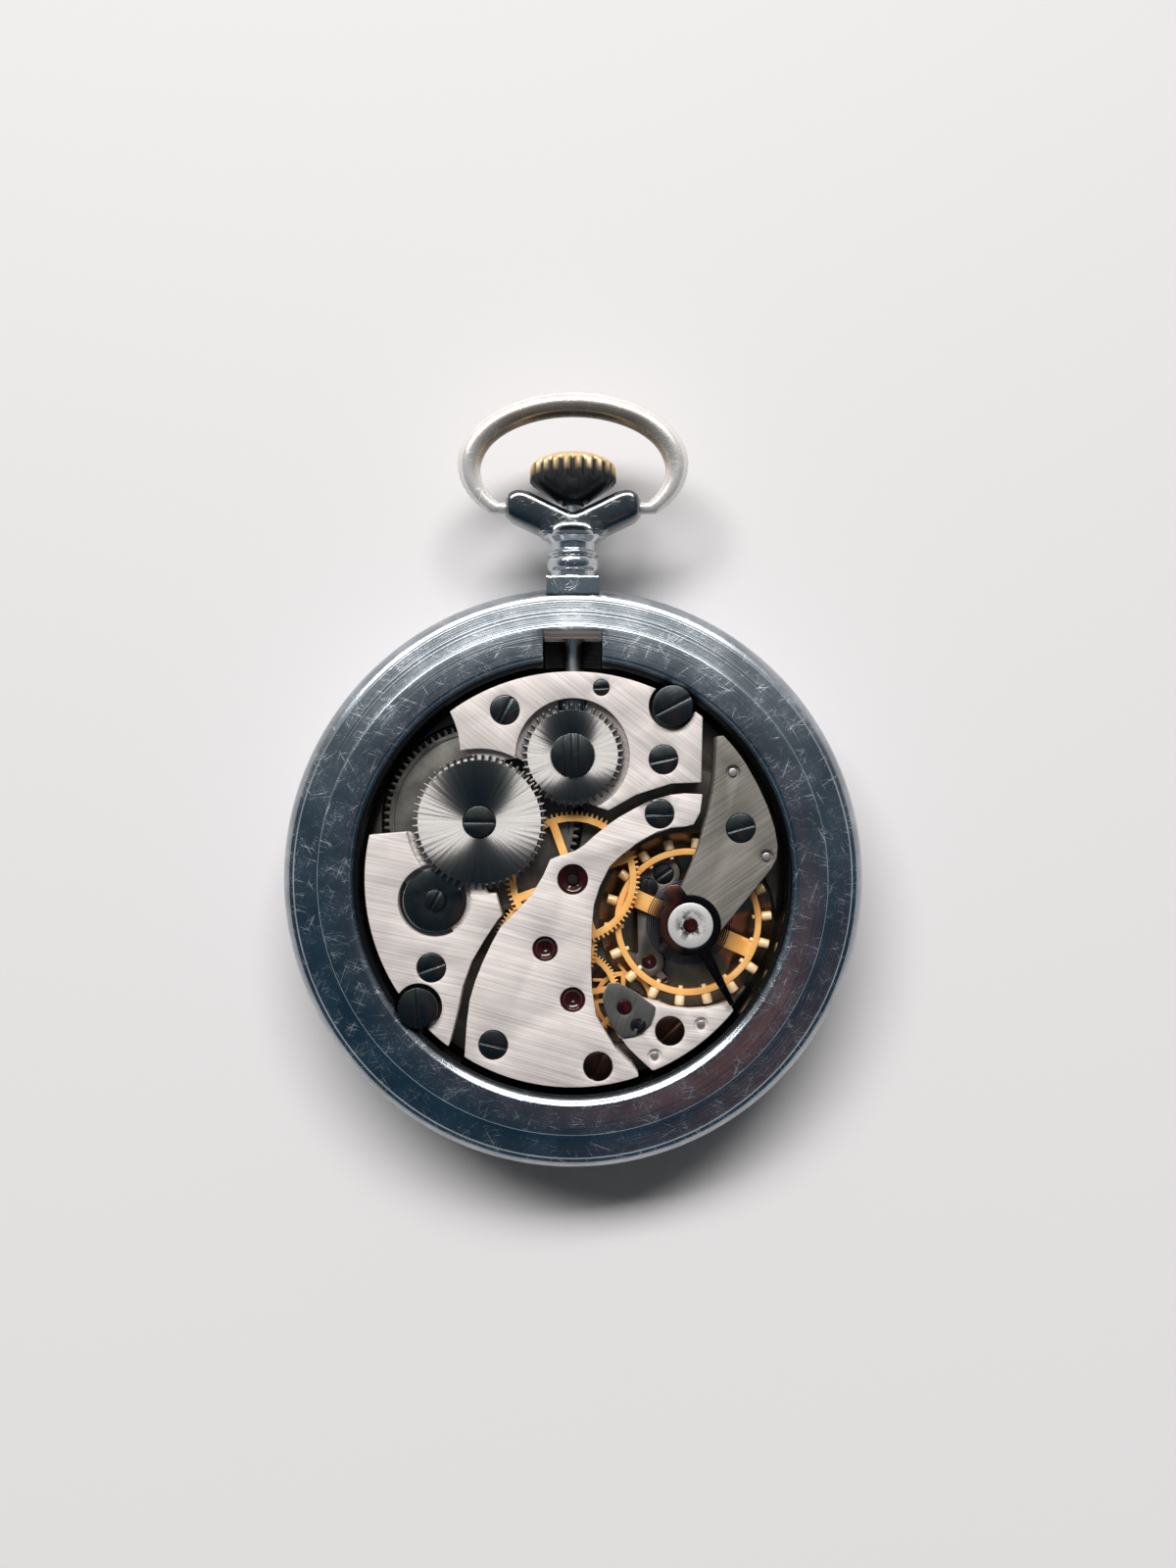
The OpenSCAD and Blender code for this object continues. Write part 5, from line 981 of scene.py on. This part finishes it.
pendant_shape.to_mesh(pendant_mesh)
pendant_shape.free()
all_smooth(pendant_mesh, SOFT_ANGLE)
add_piece("pendant_finished", pendant_mesh, BODY_OF["pendant"], ["pendant"])

# Bow: an oval loop of round steel wire whose ends turn in the saddle's ears.
# It is drawn pale and half matt, its polish partly a painted sheen of the pale room, and the side that faces
# its own loop is painted dark at the far end, a painted reflection.
BOW_STEEL_AND_SHEEN = (0.86, 0.83, 0.8, 1)
BOW_WORN = (0.92, 0.9, 0.87, 1)
BOW_PAINTED_DARK_REFLECTION = (0.26, 0.235, 0.2, 1)
BOW_MIDDLE_MM = (0, 35.9, 0)
BOW_HALF_MM = (9.1, 5.5, 1)
BOW_LINE_STEP = (0.97, 1.03)
BOW_FAR_END_MM = (-1, 4)


def inside_bow(place):
    """One on the half of the bow's wire that faces its own loop, at the far end, where a dark reflection is
    painted.
    """
    local = place.from_point(BOW_MIDDLE_MM)
    oval = local.vector_math("DIVIDE", BOW_HALF_MM).length()
    return (1 - oval.between(*BOW_LINE_STEP)) * local.part("Y").between(*BOW_FAR_END_MM)


# The pale, half-matt steel is partly a painted sheen of the pale room, and the dark inner band is a painted
# reflection.
bow_polish = case_polish("bow_polish", BOW_STEEL_AND_SHEEN, BOW_WORN, matt=0.22,
                         zones=((inside_bow, BOW_PAINTED_DARK_REFLECTION, 0.0),), metal=0.5)
bow_mesh = merged_copy("bow", bow_polish)
all_smooth(bow_mesh, SOFT_ANGLE)
add_piece("bow_finished", bow_mesh, BODY_OF["bow"], ["bow"])

# Crown: a fluted knob pressed on the stem, of plated brass.
# The plating has worn through to the brass at the outer end and stays dark in the flutes.
CROWN_PLATING = (0.04, 0.045, 0.047, 1)
CROWN_BRASS = (0.98, 0.7, 0.36, 1)
CROWN_GRAINS_A_MM = 3
CROWN_MATT = 0.2
CROWN_ROUGHNESS = 0.22
WEAR_EDGES_A_MM = 1.5
WEAR_EDGE_MM = 0.6
RIM_WORN_MM = (0.55, 0.2)
RIM_RADIUS_MM = (2.7, 2.9)
RIDGES_WORN_MM = (1.5, 0.6)
RIDGE_RADIUS_MM = (3.45, 3.7)
ROUND_Y = (1, 0, 1)
crown_low, crown_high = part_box("crown")
crown_axis_mm = (0, 0, (crown_low.z + crown_high.z) / 2 * TO_MM)
crown_brass, crown_shader, crown_place = new_finish("crown_brass", {"Metallic": 0.5})
crown_radius = crown_place.from_point(crown_axis_mm).length(ROUND_Y)
along_crown = crown_place.part("Y") + crown_place.noise(WEAR_EDGES_A_MM) * WEAR_EDGE_MM


def worn_through(from_end_mm, radius_mm):
    """One towards the crown's end and outwards, between two distances from its end and two radii."""
    start, full = (crown_high.y * TO_MM - distance for distance in from_end_mm)
    return along_crown.between(start, full) * crown_radius.between(*radius_mm)


worn_rim = worn_through(RIM_WORN_MM, RIM_RADIUS_MM)
bare = worn_rim.math("MAXIMUM", worn_rim, worn_through(RIDGES_WORN_MM, RIDGE_RADIUS_MM))
feed(crown_shader, {
    "Base Color": bare.mix(CROWN_PLATING, CROWN_BRASS),
    "Roughness": crown_place.noise(CROWN_GRAINS_A_MM) * CROWN_MATT + CROWN_ROUGHNESS,
})
broken_edges("crown", crown_brass, edge_mm=0.06)

# Table: a plain pale surface under the watch, which is not part of the object.
# It is large enough to fill every view.
TABLE_HALF = 3.0
TABLE_DROP = 0.02 * MM
TABLE_COLOUR = (0.81, 0.805, 0.82, 1)
table_paper = new_finish("table_paper", {"Roughness": 0.6, "Base Color": TABLE_COLOUR})[0]
table_mesh = bpy.data.meshes.new("table")
corners = [(x * TABLE_HALF, y * TABLE_HALF, -TABLE_DROP) for x, y in ((-1, -1), (1, -1), (1, 1), (-1, 1))]
table_mesh.from_pydata(corners, [], [(0, 1, 2, 3)])
table_mesh.materials.append(table_paper)
table = bpy.data.objects.new("table", table_mesh)
bpy.context.scene.collection.objects.link(table)

# Light and camera: one broad soft lamp beyond the crown, and a camera straight over the watch.
# The metal mirrors a room with pale walls low down, a dark bluish ceiling and one warm spot on it.
# What light the room itself gives is dim, so that shadows stay dark.
LAMP_TILT = math.radians(43)
LAMP_TURN = math.radians(9)
LAMP_DISTANCE = 3.0
LAMP_WIDTH = 3.4
LAMP_HEIGHT = 0.7
LAMP_WATTS = 130.0
LAMP_COLOUR = (1.0, 0.975, 0.955)
lamp_data = bpy.data.lights.new("window", "AREA")
lamp_data.shape = "RECTANGLE"
lamp_data.size = LAMP_WIDTH
lamp_data.size_y = LAMP_HEIGHT
lamp_data.energy = LAMP_WATTS
lamp_data.color = LAMP_COLOUR
lamp = bpy.data.objects.new("window", lamp_data)
lamp.matrix_world = (
    Matrix.Rotation(LAMP_TURN, 4, "Z")
    @ Matrix.Rotation(-LAMP_TILT, 4, "X")
    @ Matrix.Translation((0, 0, LAMP_DISTANCE))
)
bpy.context.scene.collection.objects.link(lamp)

CEILING = (0.017, 0.06, 0.098, 1)
WALL = (0.8, 0.79, 0.78, 1)
LOW_WALL = (0.8, 0.785, 0.79, 1)
LOW_WALL_TOP = (0.1, 0.45)
WINDOW_SIDE = (-0.3, 0.75)
WINDOW_GLOW = 0.55
WARM = (0.62, 0.21, 0.13, 1)
WARM_AT = (0.128, -0.215, 0)
WARM_EDGE = (0.04, 0.17)
WARM_SHARE = 0.9
SHADE = (0.022, 0.023, 0.024, 1)
DIM_TOP = (0.1, 0.5)
DIM_SHARE = 0.06
DIM_GLOW_SHARE = 0.5
world = bpy.data.worlds.new("room")
bpy.context.scene.world = world
world.use_nodes = True
room = world.node_tree
sky = Field(room.nodes.new("ShaderNodeTexCoord").outputs["Generated"])
window_side = sky.part("Y").between(*WINDOW_SIDE)
glow = window_side * window_side * WINDOW_GLOW
warm_spot = 1 - sky.from_point(WARM_AT).length().between(*WARM_EDGE)
overhead = (warm_spot * WARM_SHARE).mix(glow.mix(CEILING, WALL), WARM)
low = 1 - sky.part("Z").between(*LOW_WALL_TOP)
room_seen = low.mix(overhead, LOW_WALL)
dim = (1 - sky.part("Z").between(*DIM_TOP)) * DIM_SHARE
room_light = (dim + glow * DIM_GLOW_SHARE).at_most_one().mix(SHADE, WALL)
rays = room.nodes.new("ShaderNodeLightPath")
seen = Field(rays.outputs["Is Camera Ray"])
for ray in ("Is Glossy Ray", "Is Transmission Ray"):
    seen = seen + Field(rays.outputs[ray])
background = seen.at_most_one().mix(room_light, room_seen)
room.links.new(background.socket, room.nodes["Background"].inputs["Color"])

CAMERA_AT = (1.31 * MM, 8.15 * MM, 114.8 * MM)
CAMERA_LENS = 28.4
CAMERA_NEAR = 0.01
camera_data = bpy.data.cameras.new("camera")
camera_data.lens = CAMERA_LENS
camera_data.clip_start = CAMERA_NEAR
camera = bpy.data.objects.new("camera", camera_data)
camera.location = CAMERA_AT
bpy.context.scene.collection.objects.link(camera)
bpy.context.scene.camera = camera
bpy.context.scene.view_settings.view_transform = "Standard"
